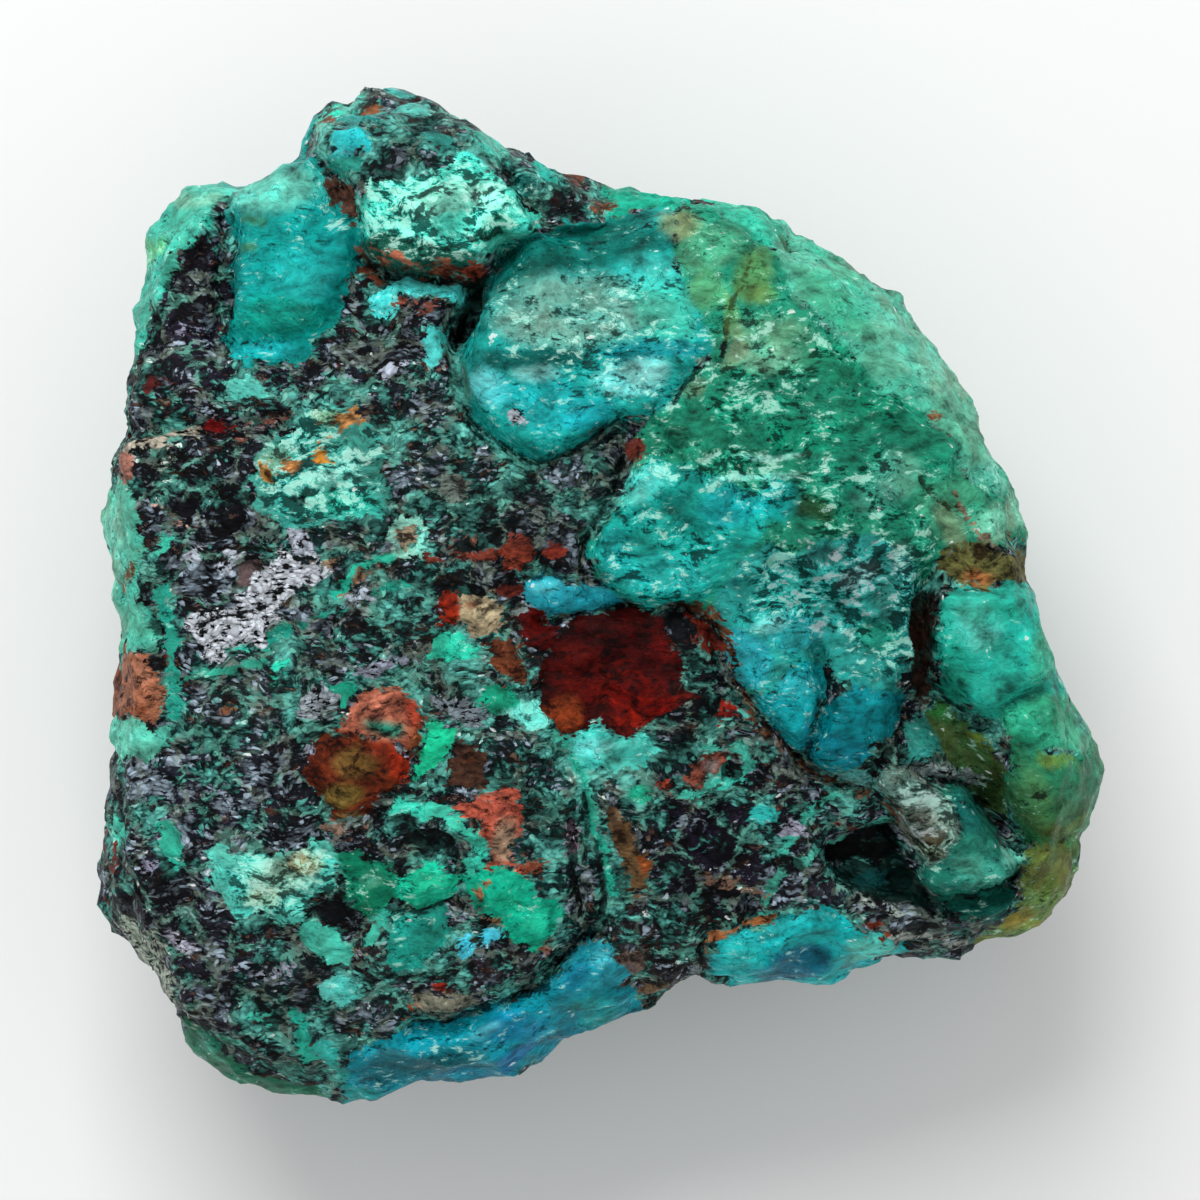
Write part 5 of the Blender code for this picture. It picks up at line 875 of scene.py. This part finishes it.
# How flaky the blue and green minerals look: x, y, half length, half width, turn, strength.
fleckSpots = [
    (8.5, 11, 3.4, 3.4, 0, 1), (-1, 14, 4.2, 1.8, 0, 0.9), (7, 6.6, 5.5, 1.8, -10, 1.1),
    (2.5, 2.4, 3.2, 2.2, 0, 0.8), (13.5, 4, 3.4, 3.4, 0, 0.9), (0.5, 10.5, 4.2, 1.4, 0, 0.7),
    (11.5, 1, 4, 2.4, 0, 1.7), (14, -1.4, 2, 2.6, 0, 1.6), (-8, 19.4, 4.2, 2.2, 0, 2.2),
    (12, 9, 3, 1.8, -20, 0.9), (-15.6, 14.8, 2.6, 2.4, 0, 0.2), (14, 13, 4.4, 1.8, -45, 0.25),
    (20, -2, 2.4, 3, 0, 0.1), (23, -8, 2.6, 3, 0, 0.1), (-15.6, -13.8, 2.4, 1.8, 0, 1.8),
    (-5, -21.6, 5, 2, 15, 0.35), (-9, -14.6, 3.5, 1.4, 0, 0.6), (10, -17.6, 3.4, 1.6, 0, 0.3),
    (-14, 6.6, 3.2, 2.4, 0, 2), (16, -10.8, 1.8, 2, 0, 1.2), (18.6, -8.4, 1.6, 2, 0, 0.3),
    (9.6, -5.6, 1.6, 2, 0, 0.6),
]

painting = {
    "farAway": 9.0,  # depth in mm where a layer has nothing near
    "shapeMargin": 1.2,  # how far outside a patch or a vein its depth is still worked out
    "spotMargin": 1.0,
    "tintEdge": 0.4,  # mm over which a shape's tint gives way to a later one's
    "shadeEdge": (1.6, 0.35),  # a soft shade's edge: slope, and how far outside it begins
    "matrixEdge": (1.2, 0.3),
    "matrixColour": "16161c",
    "matrixShares": (0.28, 0.34),  # teal and grey crumbs where no shade lies
    "plainFlecks": 0.35,
    # noises below are size, height and seed; for a shift the seed is its first direction's
    "wobbles": [(1.3, 0.22, 61), (0.5, 0.1, 64)],  # shifts of all the paint
    "sway": (3.0, 2.3, 67),  # a wider shift that comes in down the sides
    "swayHeight": 1.6,  # how much shorter it is upwards
    "sidesFrom": 0.8,  # share of the way from crest to rim where the sides' own paint takes over
    "sidesSlope": 2.2,
    "sidesRagged": [(3.0, 0.3, 73), (1.2, 0.15, 74)],
    "sideBorders": [(2.4, 1.6, 71), (1.0, 0.8, 72)],
    "sideShares": (0.3, 0.34),  # teal and grey crumbs there, and how far they drift
    "sideDrift": (6.0, 0.25, 75),
    "sideLimits": (0.05, 0.7),
}


def linearColour(code):
    # sRGB hex code to linear light: ((c + 0.055) / 1.055) ^ 2.4
    parts = np.array([int(code[i:i + 2], 16) for i in (0, 2, 4)]) / 255
    return ((parts + 0.055) / 1.055) ** 2.4


def noiseSum(points, noises):
    # noises of several sizes, each times its height
    return sum(height * grainNoise(points, size, seed) for size, height, seed in noises)


def turnedBy(turn, x, y):
    # coordinates along and across a direction in degrees
    c, s = math.cos(math.radians(turn)), math.sin(math.radians(turn))
    return x * c + y * s, y * c - x * s


def spotShare(x, y, spot):
    # 1 at the middle of a turned ellipse, 0 on its edge, negative outside: 1 - |q|
    cx, cy, halfLength, halfWidth, turn = spot
    u, v = turnedBy(turn, x - cx, y - cy)
    return 1 - np.hypot(u / halfLength, v / halfWidth)


def softShare(x, y, spot, edge="shadeEdge"):
    # the same as a soft share from 0 to 1 that begins a little outside: ease(slope (share + start))
    slope, start = painting[edge]
    return ease(slope * (spotShare(x, y, spot) + start))


def nearby(outline, x, y, margin):
    # which points lie in the outline's upright box, widened by the margin
    low, high = np.min(outline, axis=0) - margin, np.max(outline, axis=0) + margin
    return np.flatnonzero((x > low[0]) & (x < high[0]) & (y > low[1]) & (y < high[1]))


def paintLayer(layer, x, y):
    # depth inside the layer's shapes, the greatest of all, and the tint of the latest shape there
    depth = np.full(x.shape, -painting["farAway"])
    tint = np.zeros((len(x), 3))

    def add(code, chosen, found):
        outside = (found > depth[chosen]) & (depth[chosen] < 0)
        part = np.where(outside, 1, ease(found / painting["tintEdge"] + 0.5))[:, None]
        tint[chosen] += part * (linearColour(code) - tint[chosen])
        depth[chosen] = np.maximum(depth[chosen], found)

    for code, outline in layer["patches"]:
        chosen = nearby(outline, x, y, painting["shapeMargin"])
        add(code, chosen, outlineDepth(outline, x[chosen], y[chosen]))
    for code, width, line in layer["veins"]:
        chosen = nearby(line, x, y, painting["shapeMargin"])
        add(code, chosen, width / 2 - lineDistance(line, x[chosen], y[chosen]))
    for code, *spot in layer["spots"]:
        chosen = nearby([spot[:2]], x, y, max(spot[2:4]) + painting["spotMargin"])
        add(code, chosen, spotShare(x[chosen], y[chosen], spot) * min(spot[2:4]))
    return depth, tint


def shadeTint(tint, shades, x, y):
    # each soft ellipse pulls the tint towards its own colour by its strength
    for code, *spot, strength in shades:
        part = strength * softShare(x, y, spot)[:, None]
        tint += part * (linearColour(code) - tint)
    return tint


def paintSides(clastsThere, points):
    # depth inside ellipsoids turned about the upright: (1 - |q|) times the least half size
    depth = np.full(len(points), -painting["farAway"])
    tint = np.zeros((len(points), 3))
    for code, centre, half, turn in clastsThere:
        x, y, z = (points - centre).T
        away = np.stack([*turnedBy(turn, x, y), z], axis=1) / half
        found = (1 - np.linalg.norm(away, axis=1)) * min(half)
        tint[found > depth] = linearColour(code)
        depth = np.maximum(depth, found)
    return depth, tint


def paintMatrix(points, x, y):
    # the groundmass: tint, share of teal crumbs and share of grey crumbs, blended like the shades
    tint = np.tile(linearColour(painting["matrixColour"]), (len(points), 1))
    shares = np.tile(painting["matrixShares"], (len(points), 1))
    for code, *spot, strength, teal, grey in matrixShades:
        part = strength * softShare(x, y, spot, "matrixEdge")[:, None]
        tint += part * (linearColour(code) - tint)
        shares += part * ([teal, grey] - shares)
    return tint, shares


def paintStone(points, way):
    # every painted value per point: the top's layers by plan, the sides' by ellipsoids, eased into
    # each other just under the widest line, all on coordinates shifted by noise
    shift = sum(height * grainNoises(points, size, seed, 3) for size, height, seed in painting["wobbles"])
    down = wayShare(way, "crestAt", "rimAt")
    size, reach, seed = painting["sway"]
    sway = grainNoises(points * [1, 1, painting["swayHeight"]], size, seed, 2)
    x, y = (points[:, :2] + shift[:, :2] + reach * ease(1.4 * down - 0.4)[:, None] * sway).T
    ragged = noiseSum(points, painting["sidesRagged"])
    below = ease(painting["sidesSlope"] * (down - painting["sidesFrom"] + ragged))
    values = {}
    values["matrixTint"], shares = paintMatrix(points, x, y)
    size, height, seed = painting["sideDrift"]
    sideShares = painting["sideShares"] + height * grainNoises(points, size, seed, 2)
    shares += below[:, None] * (np.clip(sideShares, *painting["sideLimits"]) - shares)
    values["tealShare"], values["greyShare"] = shares.T
    uneven = noiseSum(points, painting["sideBorders"])
    for name, layer, shades, clastsThere in (
        ("green", greens, greenShades, sideClasts),
        ("rust", rusts, rustShades, sideRusts),
        ("silver", silvers, [], []),
        ("dark", darksAndPaintedShade, [], []),
    ):
        depth, tint = paintLayer(layer, x, y)
        tint = shadeTint(tint, shades, x, y)
        sideDepth, sideTint = paintSides(clastsThere, points + 2 * shift)
        sideDepth = np.maximum(sideDepth + uneven, -painting["farAway"])
        values[name + "Depth"] = depth + below * (sideDepth - depth)
        values[name + "Tint"] = tint + below[:, None] * (sideTint - tint)
    values["flecks"] = np.full(len(points), painting["plainFlecks"])
    for *spot, strength in fleckSpots:
        values["flecks"] += softShare(x, y, spot) * (strength - values["flecks"])
    return values


fine = {  # noises are size, height and seed
    "crumbs": [(0.95, 0.22, 81), (0.45, 0.1, 82)],
    "crumbFacets": (0.75, 0.16, 83),
    "flakeFacets": (1.0, 0.12, 85),
    "flakeStretch": (1.6, 0.75, 1),
    "flakeGrain": (0.45, 0.06, 86),
    "greenDome": 0.14,  # how far each mineral stands out of the groundmass
    "rustDome": 0.06,
    "silverDome": 0.08,
    "crackDepth": 0.28,
    "seatFade": 0.02,  # share of the way over which it all ends at the seat's edge
}


def fineRelief(points, way, values):
    # small relief along the outward direction: greens domed and faintly rippled, groundmass crumbly,
    # cracks sunk; nothing on the flat that the stone rests on
    green = ease(values["greenDepth"] / 0.5 + 0.1)
    rust = ease(values["rustDepth"] / 0.4 + 0.3)
    silver = ease(values["silverDepth"] / 0.3 + 0.5)
    dark = ease(values["darkDepth"] / 0.16 + 0.8)
    size, height, seed = fine["crumbFacets"]
    crumbs = noiseSum(points, fine["crumbs"]) + height * facetNoise(points, size, seed)
    size, height, seed = fine["flakeFacets"]
    flakes = height * facetNoise(points / fine["flakeStretch"], size, seed)
    flakes += noiseSum(points, [fine["flakeGrain"]])
    lift = (1 - green) * (1 - 0.5 * rust) * (1 - 0.6 * silver) * crumbs
    lift += green * (fine["greenDome"] + flakes * (0.5 + values["flecks"]))
    lift += fine["rustDome"] * rust + fine["silverDome"] * silver - fine["crackDepth"] * dark
    return lift * np.clip((body["seatAt"] - way) / fine["seatFade"], 0, 1)


stoneMaterial = {
    # patterns: how many per mm
    "crumbScale": (3.2, 5.4, 4.4),  # groundmass crumbs
    "blotchScale": (0.9, 1.5, 1.3),  # groundmass blotches
    "streakScale": (1.6, 3.7, 2.8),  # streaks in the blue and green minerals
    "bendScale": 0.5,  # bends in the lie of crumbs, blotches and streaks
    "broadScale": 0.55,  # clouds
    "duskScale": 0.33,  # dark areas of the groundmass
    "webScale": 0.42,  # cells that veinlets run between
    # how they lie
    "lieOfBlotches": -30,  # degrees in plan
    "lieOfStreaks": 8.594,
    "crumbBend": 1.5,  # mm that bends carry crumbs and blotches
    "streakBend": 0.8,
    "webBend": 0.9,
    # looks
    "ragged": 1.7,  # how far noise moves a mineral's border
    "webWidth": 0.075,
    "webShare": 0.65,
    "duskLeast": 0.3,  # brightness of the dark areas
    "glintShare": 0.94,  # a crumb whose number is above this may glint
    "paleShare": 0.9,  # how strongly pale flakes, pits and hairlines show
    "pitShare": 0.95,
    "hairShare": 0.5,
    "roughness": 0.33,
    "greenGloss": 0.06,  # how much smoother greens and silvery flakes are, and how much duller rust
    "silverGloss": 0.12,
    "rustDullness": 0.1,
    "subsurface": 0.04,
    "subsurfaceRadius": (0.6, 1.0, 0.9),
    "specular": 0.07,
    "bump": 0.8,
    "crumbHeight": 0.07,  # mm, less greenSmoothing in the greens
    "greenSmoothing": 0.05,
    "grainHeight": 0.3,
}

# How far the wandering borders move each mineral and the dark layer of painted shade and dark veins, and
# how much each is grown.
borders = {"green": (1.0, 0.08), "rust": (1.2, 0.0), "silver": (1.1, 0.1), "dark": (0.5, 0.0)}

colours = {
    "tealDeep": "062c28", "tealPale": "7ad4be", "greyDeep": "14161c", "greyPale": "c4c8d2",
    "paleGreen": "bdeedd", "paleGrey": "b4b8bc", "glint": "f4fbf6", "rustDeep": "1c0603",
    "crack": "030506", "webGrey": "8a9a8c", "brownDeep": "1e100c", "brownPale": "8a6250",
    "redCrumb": "6e2a1c",
}

# Casts that multiply a colour.
casts = {"groundmass": (0.8, 0.98, 1.06, 1), "warmer": (0.8, 1.0, 0.98, 1), "cooler": (0.5, 1.0, 1.02, 1)}


def paint(name):
    # a colour socket's four values
    return (*linearColour(colours[name]), 1)


class Tree:
    # short calls that add one node each and return its output socket
    def __init__(self, material):
        material.use_nodes = True
        self.nodes = material.node_tree.nodes
        self.links = material.node_tree.links

    def add(self, kind, values, out=0, **settings):
        made = self.nodes.new("ShaderNode" + kind)
        for name, value in settings.items():
            setattr(made, name, value)
        for name, value in values.items():
            if isinstance(value, bpy.types.NodeSocket):
                self.links.new(value, made.inputs[name])
            else:
                made.inputs[name].default_value = value
        return made.outputs[out]

    def maths(self, operation, *values):
        return self.add("Math", dict(enumerate(values)), operation=operation)

    def vectors(self, operation, *values):
        return self.add("VectorMath", dict(enumerate(values)), operation=operation)

    def scaled(self, value, factor, offset=0.0):
        return self.maths("MULTIPLY_ADD", value, factor, offset)

    def total(self, first, *others):
        for value in others:
            first = self.maths("ADD", first, value)
        return first

    def step(self, value, low, high):
        # 0 below the low value, 1 above the high one, eased between
        return self.add("MapRange", {0: value, 1: low, 2: high}, interpolation_type="SMOOTHSTEP")

    def mix(self, share, first, second, kind="MIX"):
        return self.add("Mix", {0: share, 6: first, 7: second}, out=2, data_type="RGBA", blend_type=kind)

    def cast(self, colour, by):
        return self.mix(1.0, colour, by, kind="MULTIPLY")

    def lit(self, colour, factor):
        # a colour or a vector times a number
        return self.add("VectorMath", {0: colour, "Scale": factor}, operation="SCALE")

    def noise(self, vector, scale, detail, roughness=0.5):
        # fractal noise less its middle value, so about -0.3 to 0.3
        values = {"Vector": vector, "Scale": scale, "Detail": detail, "Roughness": roughness}
        return self.scaled(self.add("TexNoise", values), 1.0, -0.5)

    def noises(self, vector, scale, detail, roughness=0.5):
        # the same, three at once, as a vector
        values = {"Vector": vector, "Scale": scale, "Detail": detail, "Roughness": roughness}
        return self.vectors("SUBTRACT", self.add("TexNoise", values, out="Color"), (0.5, 0.5, 0.5))

    def mapped(self, vector, degrees, scale):
        values = {"Vector": vector, "Rotation": (0, 0, math.radians(degrees)), "Scale": scale}
        return self.add("Mapping", values)

    def split(self, vector):
        return self.add("SeparateXYZ", {0: vector}).node.outputs

    def attribute(self, name, out="Fac"):
        return self.add("Attribute", {}, out=out, attribute_name=name)


def addPatterns(tree):
    # the patterns that all colours are made of, kept on the tree: clouds, blotches and grain, streaks,
    # crumbs with three numbers of their own each, and every mineral's share from 0 to 1
    look = stoneMaterial
    place = tree.lit(tree.add("TexCoord", {}, out="Object"), 1 / mm)
    bend = tree.noises(place, look["bendScale"], 2.5)
    bent = tree.vectors("ADD", place, tree.lit(bend, look["crumbBend"]))
    tree.place = place
    tree.broad = tree.noise(place, look["broadScale"], 3.0)
    tree.blotch = tree.noises(tree.mapped(bent, look["lieOfBlotches"], look["blotchScale"]), 1.0, 6.0, 0.7)
    tree.blotchA, tree.blotchB, tree.grain = tree.split(tree.blotch)
    streakPlace = tree.vectors("ADD", place, tree.lit(bend, look["streakBend"]))
    streakPlace = tree.mapped(streakPlace, look["lieOfStreaks"], look["streakScale"])
    tree.streak = tree.noise(streakPlace, 1.0, 5.0, 0.7)

    cellPlace = tree.vectors("MULTIPLY", bent, look["crumbScale"])
    cell = tree.add("TexVoronoi", {"Vector": cellPlace, "Scale": 1.0}).node
    tree.first, tree.second, tree.third = tree.split(cell.outputs["Color"])
    tree.betweenCrumbs = tree.scaled(tree.step(cell.outputs["Distance"], 0.8, 0.3), -0.5, 0.5)

    # each mineral's share: its painted depth, moved by noise and by whole crumbs, cut sharply at zero
    wander = tree.total(tree.scaled(tree.blotchA, look["ragged"]), tree.scaled(tree.first, 0.2, -0.1))
    tree.depths = {name: tree.attribute(name + "Depth") for name in borders}
    tree.shares = {}
    for name, (moved, grown) in borders.items():
        depth = tree.total(tree.maths("MULTIPLY_ADD", wander, moved, tree.depths[name]), grown)
        tree.shares[name] = tree.step(depth, -0.05, 0.06)
    tree.greyShare = tree.scaled(tree.broad, -2.0, tree.attribute("greyShare"))
    tree.glint = tree.maths("GREATER_THAN", tree.third, look["glintShare"])
    tree.glint = tree.maths("MULTIPLY", tree.glint, tree.step(tree.grain, 0.08, 0.14))


def groundmassColour(tree):
    # noise above a level set by the painted share is teal, grey or brown, the rest dark, and each
    # crumb has its own brightness; veinlets lie over it
    look = stoneMaterial

    def gathered(noise, share):
        # how far the noise is above its level, and whether it is
        excess = tree.total(noise, tree.scaled(share, 0.34, -0.17))
        return excess, tree.step(excess, 0.0, 0.03)

    nearGreen = tree.scaled(tree.step(tree.depths["green"], -1.2, 0.0), 0.3, 0.1)
    tealShare = tree.total(tree.attribute("tealShare"), nearGreen, tree.scaled(tree.broad, 3.0))
    tealNoise = tree.total(tree.blotchA, tree.scaled(tree.second, 0.12, -0.06))
    tealExcess, teal = gathered(tealNoise, tealShare)
    greyNoise = tree.total(tree.scaled(tree.streak, 0.5), tree.scaled(tree.first, 0.2, -0.1))
    greyExcess, grey = gathered(tree.total(tree.blotchB, greyNoise), tree.greyShare)
    brownNoise = tree.total(tree.scaled(tree.blotchA, -0.7), tree.scaled(tree.blotchB, -0.7))
    brown = gathered(brownNoise, 0.2)[1]

    tone = tree.maths("POWER", tree.third, 1.7)
    bright = tree.maths("MAXIMUM", tree.total(tree.scaled(tree.grain, 6.0, 0.4), tone), 0.1)
    base = tree.lit(tree.attribute("matrixTint", "Color"), bright)
    brownPale = tree.mix(tree.step(tree.first, 0.55, 0.75), paint("brownPale"), paint("redCrumb"))
    base = tree.mix(brown, base, tree.mix(tone, paint("brownDeep"), brownPale))
    greyTone = tree.total(tree.maths("POWER", tree.third, 3.0), tree.scaled(greyExcess, 2.5, -0.15))
    base = tree.mix(grey, base, tree.mix(greyTone, paint("greyDeep"), paint("greyPale")))
    tealTone = tree.total(tree.scaled(tealExcess, 3.0), tree.scaled(tree.grain, 2.0, -0.22))
    tealTone = tree.total(tealTone, tree.scaled(tone, 0.7))
    base = tree.mix(teal, base, tree.mix(tealTone, paint("tealDeep"), paint("tealPale")))
    base = tree.cast(tree.mix(tree.betweenCrumbs, base, paint("crack")), casts["groundmass"])
    dusk = tree.step(tree.noise(tree.place, look["duskScale"], 2.0), -0.12, 0.04)
    base = tree.lit(base, tree.scaled(dusk, 0.75, look["duskLeast"]))

    # veinlets: broken lines along the borders of wide cells bent by the blotches
    webPlace = tree.lit(tree.place, look["webScale"])
    webPlace = tree.vectors("ADD", webPlace, tree.lit(tree.blotch, look["webBend"]))
    web = tree.add("TexVoronoi", {"Vector": webPlace, "Scale": 1.0}, feature="DISTANCE_TO_EDGE")
    web = tree.step(web, look["webWidth"], 0.4 * look["webWidth"])
    web = tree.maths("MULTIPLY", web, tree.step(tree.blotchB, -0.1, 0.0))
    webTint = tree.mix(tree.step(tree.broad, -0.1, 0.1), paint("webGrey"), paint("tealPale"))
    webTint = tree.lit(webTint, tree.scaled(tree.third, 0.8, 0.2))
    base = tree.mix(tree.scaled(web, look["webShare"]), base, webTint)
    return tree.mix(tree.scaled(tree.glint, 0.8), base, paint("glint")), teal


def greenColour(tree):
    # blue and green minerals: the painted tint, clouded, with streaks that run from pits to pale
    # flakes, greyer where grey gathers, and more of them where the painted flecks are strong
    look = stoneMaterial
    flecks = tree.attribute("flecks")
    cast = tree.mix(tree.step(tree.broad, -0.1, 0.12), casts["warmer"], casts["cooler"])
    tint = tree.cast(tree.attribute("greenTint", "Color"), cast)
    cloud = tree.total(tree.scaled(tree.broad, 2.0, 1.05), tree.scaled(tree.grain, 3.4))
    tint = tree.lit(tint, tree.maths("MAXIMUM", cloud, 0.15))

    strength = tree.maths("MULTIPLY", tree.scaled(flecks, 1.4, 0.4), tree.scaled(tree.broad, 4.5, 1.0))
    streakPart = tree.maths("MAXIMUM", tree.scaled(flecks, -0.6, 1.5), 0.3)
    streakPart = tree.maths("MULTIPLY", tree.streak, streakPart)
    grainPart = tree.maths("MULTIPLY", tree.blotchB, tree.scaled(flecks, 0.6, 0.9))
    run = tree.total(streakPart, grainPart)
    run = tree.maths("MULTIPLY", run, tree.maths("MAXIMUM", strength, 0.15))
    pale = tree.step(run, 0.12, 0.34)
    pits = tree.step(run, -0.06, -0.34)
    paleTint = tree.mix(tree.step(tree.greyShare, 0.45, 0.8), paint("paleGreen"), paint("paleGrey"))
    paleTint = tree.mix(0.7, tree.lit(tint, 1.8), paleTint)
    flaky = tree.mix(tree.scaled(pale, look["paleShare"]), tint, paleTint)
    flaky = tree.mix(tree.scaled(pits, look["pitShare"]), flaky, tree.lit(tint, 0.1))
    flaky = tree.mix(tree.scaled(tree.glint, 0.7), flaky, paint("glint"))
    hair = tree.step(tree.maths("ABSOLUTE", tree.scaled(tree.broad, 1.0, -0.04)), 0.006, 0.002)
    return tree.mix(tree.scaled(hair, look["hairShare"]), flaky, paint("crack"))


def rustColour(tree):
    # red and brown minerals: the painted tint worn by grain and streaks, with highlights and dark pits
    worn = tree.total(tree.scaled(tree.grain, 5.0, 0.8), tree.scaled(tree.streak, 1.6))
    worn = tree.total(worn, tree.scaled(tree.third, 0.4, -0.2))
    worn = tree.lit(tree.attribute("rustTint", "Color"), tree.maths("MAXIMUM", worn, 0.1))
    highlight = tree.step(tree.total(tree.first, tree.grain), 1.0, 1.1)
    worn = tree.mix(highlight, worn, tree.lit(worn, 1.5))
    pits = tree.step(tree.blotchB, -0.04, -0.12)
    return tree.mix(tree.scaled(pits, 0.85), worn, paint("rustDeep"))


def silverColour(tree):
    # silvery flakes: the painted tint, each crumb as bright as its number, with black gaps
    bright = tree.lit(tree.attribute("silverTint", "Color"), tree.scaled(tree.third, 0.8, 0.8))
    gap = tree.step(tree.total(tree.streak, tree.scaled(tree.second, 0.16, -0.08)), -0.02, -0.08)
    return tree.mix(tree.maths("MAXIMUM", gap, tree.betweenCrumbs), bright, paint("crack"))


def makeStoneMaterial():
    look = stoneMaterial
    material = bpy.data.materials.new("stone")
    tree = Tree(material)
    addPatterns(tree)
    green, rust, silver, dark = (tree.shares[name] for name in borders)
    base, teal = groundmassColour(tree)
    colour = tree.mix(green, base, greenColour(tree))
    colour = tree.mix(rust, colour, rustColour(tree))
    colour = tree.mix(silver, colour, silverColour(tree))
    # the dark layer darkens all that it crosses and lays its own near-black tint: painted shade in
    # crevices, seams and the sunk cave, and dark veins of the stone's own; teal crumbs bridge it
    colour = tree.lit(colour, tree.scaled(dark, -0.7, 1.0))
    darkTint = tree.lit(tree.attribute("darkTint", "Color"), tree.scaled(tree.third, 1.2, 0.4))
    colour = tree.mix(tree.maths("MULTIPLY", dark, tree.scaled(teal, -0.6, 1.0)), colour, darkTint)

    # gloss: glassy greens and flakes, duller rust and groundmass
    rough = tree.scaled(green, -look["greenGloss"], look["roughness"])
    rough = tree.maths("MULTIPLY_ADD", rust, look["rustDullness"], rough)
    rough = tree.maths("MULTIPLY_ADD", silver, -look["silverGloss"], rough)
    rough = tree.maths("MULTIPLY_ADD", tree.grain, 0.5, rough)

    # bump heights in mm: crumbs and grain
    crumbHeight = tree.scaled(green, -look["greenSmoothing"], look["crumbHeight"])
    height = tree.maths("MULTIPLY", tree.first, crumbHeight)
    height = tree.maths("MULTIPLY_ADD", tree.grain, look["grainHeight"], height)
    bump = tree.add("Bump", {"Strength": look["bump"], "Distance": mm, "Height": height})

    shader = tree.nodes["Principled BSDF"]
    shader.inputs["Specular IOR Level"].default_value = look["specular"]
    shader.inputs["Subsurface Weight"].default_value = look["subsurface"]
    shader.inputs["Subsurface Radius"].default_value = look["subsurfaceRadius"]
    shader.inputs["Subsurface Scale"].default_value = mm
    tree.links.new(colour, shader.inputs["Base Color"])
    tree.links.new(rough, shader.inputs["Roughness"])
    tree.links.new(bump, shader.inputs["Normal"])
    return material


def linked(name, data):
    # a new object in the scene
    made = bpy.data.objects.new(name, data)
    bpy.context.scene.collection.objects.link(made)
    return made


angle, way, faces = gridPlaces()
points = stonePoints(angle, way)
print("shape:", len(points), "points,", sum(len(face) - 2 for face in faces), "triangles")
values = paintStone(points, way)
print("painted:", ", ".join(values))
points += outwardFrom(points) * fineRelief(points, way, values)[:, None]
points[:, 2] = np.maximum(points[:, 2], 0)
mesh = bpy.data.meshes.new("stoneSurface")
mesh.from_pydata((points * mm).tolist(), [], faces)
mesh.shade_smooth()
for name, value in values.items():
    if value.ndim == 1:
        mesh.attributes.new(name, "FLOAT", "POINT").data.foreach_set("value", value)
    else:
        full = np.concatenate([value, np.ones((len(value), 1))], axis=1)
        mesh.attributes.new(name, "FLOAT_COLOR", "POINT").data.foreach_set("color", full.ravel())
mesh.materials.append(makeStoneMaterial())
stone = linked("stoneSurface", mesh)
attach(stone, "root")
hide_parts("stone")
print("stone joined to the frame")

stage = {  # in metres
    "floorSize": 1.0,
    "floorColour": (0.92, 0.92, 0.92, 1),
    "floorRoughness": 0.9,
    "cameraHeight": 0.516,
    "lens": 300,  # mm
    "sensor": 36,  # mm
    "nearest": 0.01,
    "skyColour": (1, 1, 1, 1),
    "skyStrength": 0.62,
    "keyPower": 1.9,
    "keySize": 0.3,
    "keyPlace": (-0.1, 0.35, 0.4),
    "keyAim": (0, 0, 0.01),
}

reach = stage["floorSize"]
corners = [(-reach, -reach, 0), (reach, -reach, 0), (reach, reach, 0), (-reach, reach, 0)]
floorMesh = bpy.data.meshes.new("floor")
floorMesh.from_pydata(corners, [], [(0, 1, 2, 3)])
floor = linked("floor", floorMesh)
floorMaterial = bpy.data.materials.new("floor")
floorMaterial.use_nodes = True
floorShader = floorMaterial.node_tree.nodes["Principled BSDF"]
floorShader.inputs["Base Color"].default_value = stage["floorColour"]
floorShader.inputs["Roughness"].default_value = stage["floorRoughness"]
floorMesh.materials.append(floorMaterial)

camera = linked("camera", bpy.data.cameras.new("camera"))
camera.data.lens = stage["lens"]
camera.data.sensor_width = stage["sensor"]
camera.data.clip_start = stage["nearest"]
camera.location = (0, 0, stage["cameraHeight"])
bpy.context.scene.camera = camera

world = bpy.data.worlds.new("world")
world.use_nodes = True
sky = world.node_tree.nodes["Background"]
sky.inputs["Color"].default_value = stage["skyColour"]
sky.inputs["Strength"].default_value = stage["skyStrength"]
bpy.context.scene.world = world
key = linked("key", bpy.data.lights.new("key", "AREA"))
key.data.size = stage["keySize"]
key.data.energy = stage["keyPower"]
key.location = stage["keyPlace"]
key.rotation_euler = (Vector(stage["keyAim"]) - key.location).to_track_quat("-Z", "Y").to_euler()
bpy.context.scene.view_settings.view_transform = "Standard"
print("stage, camera and lights set")
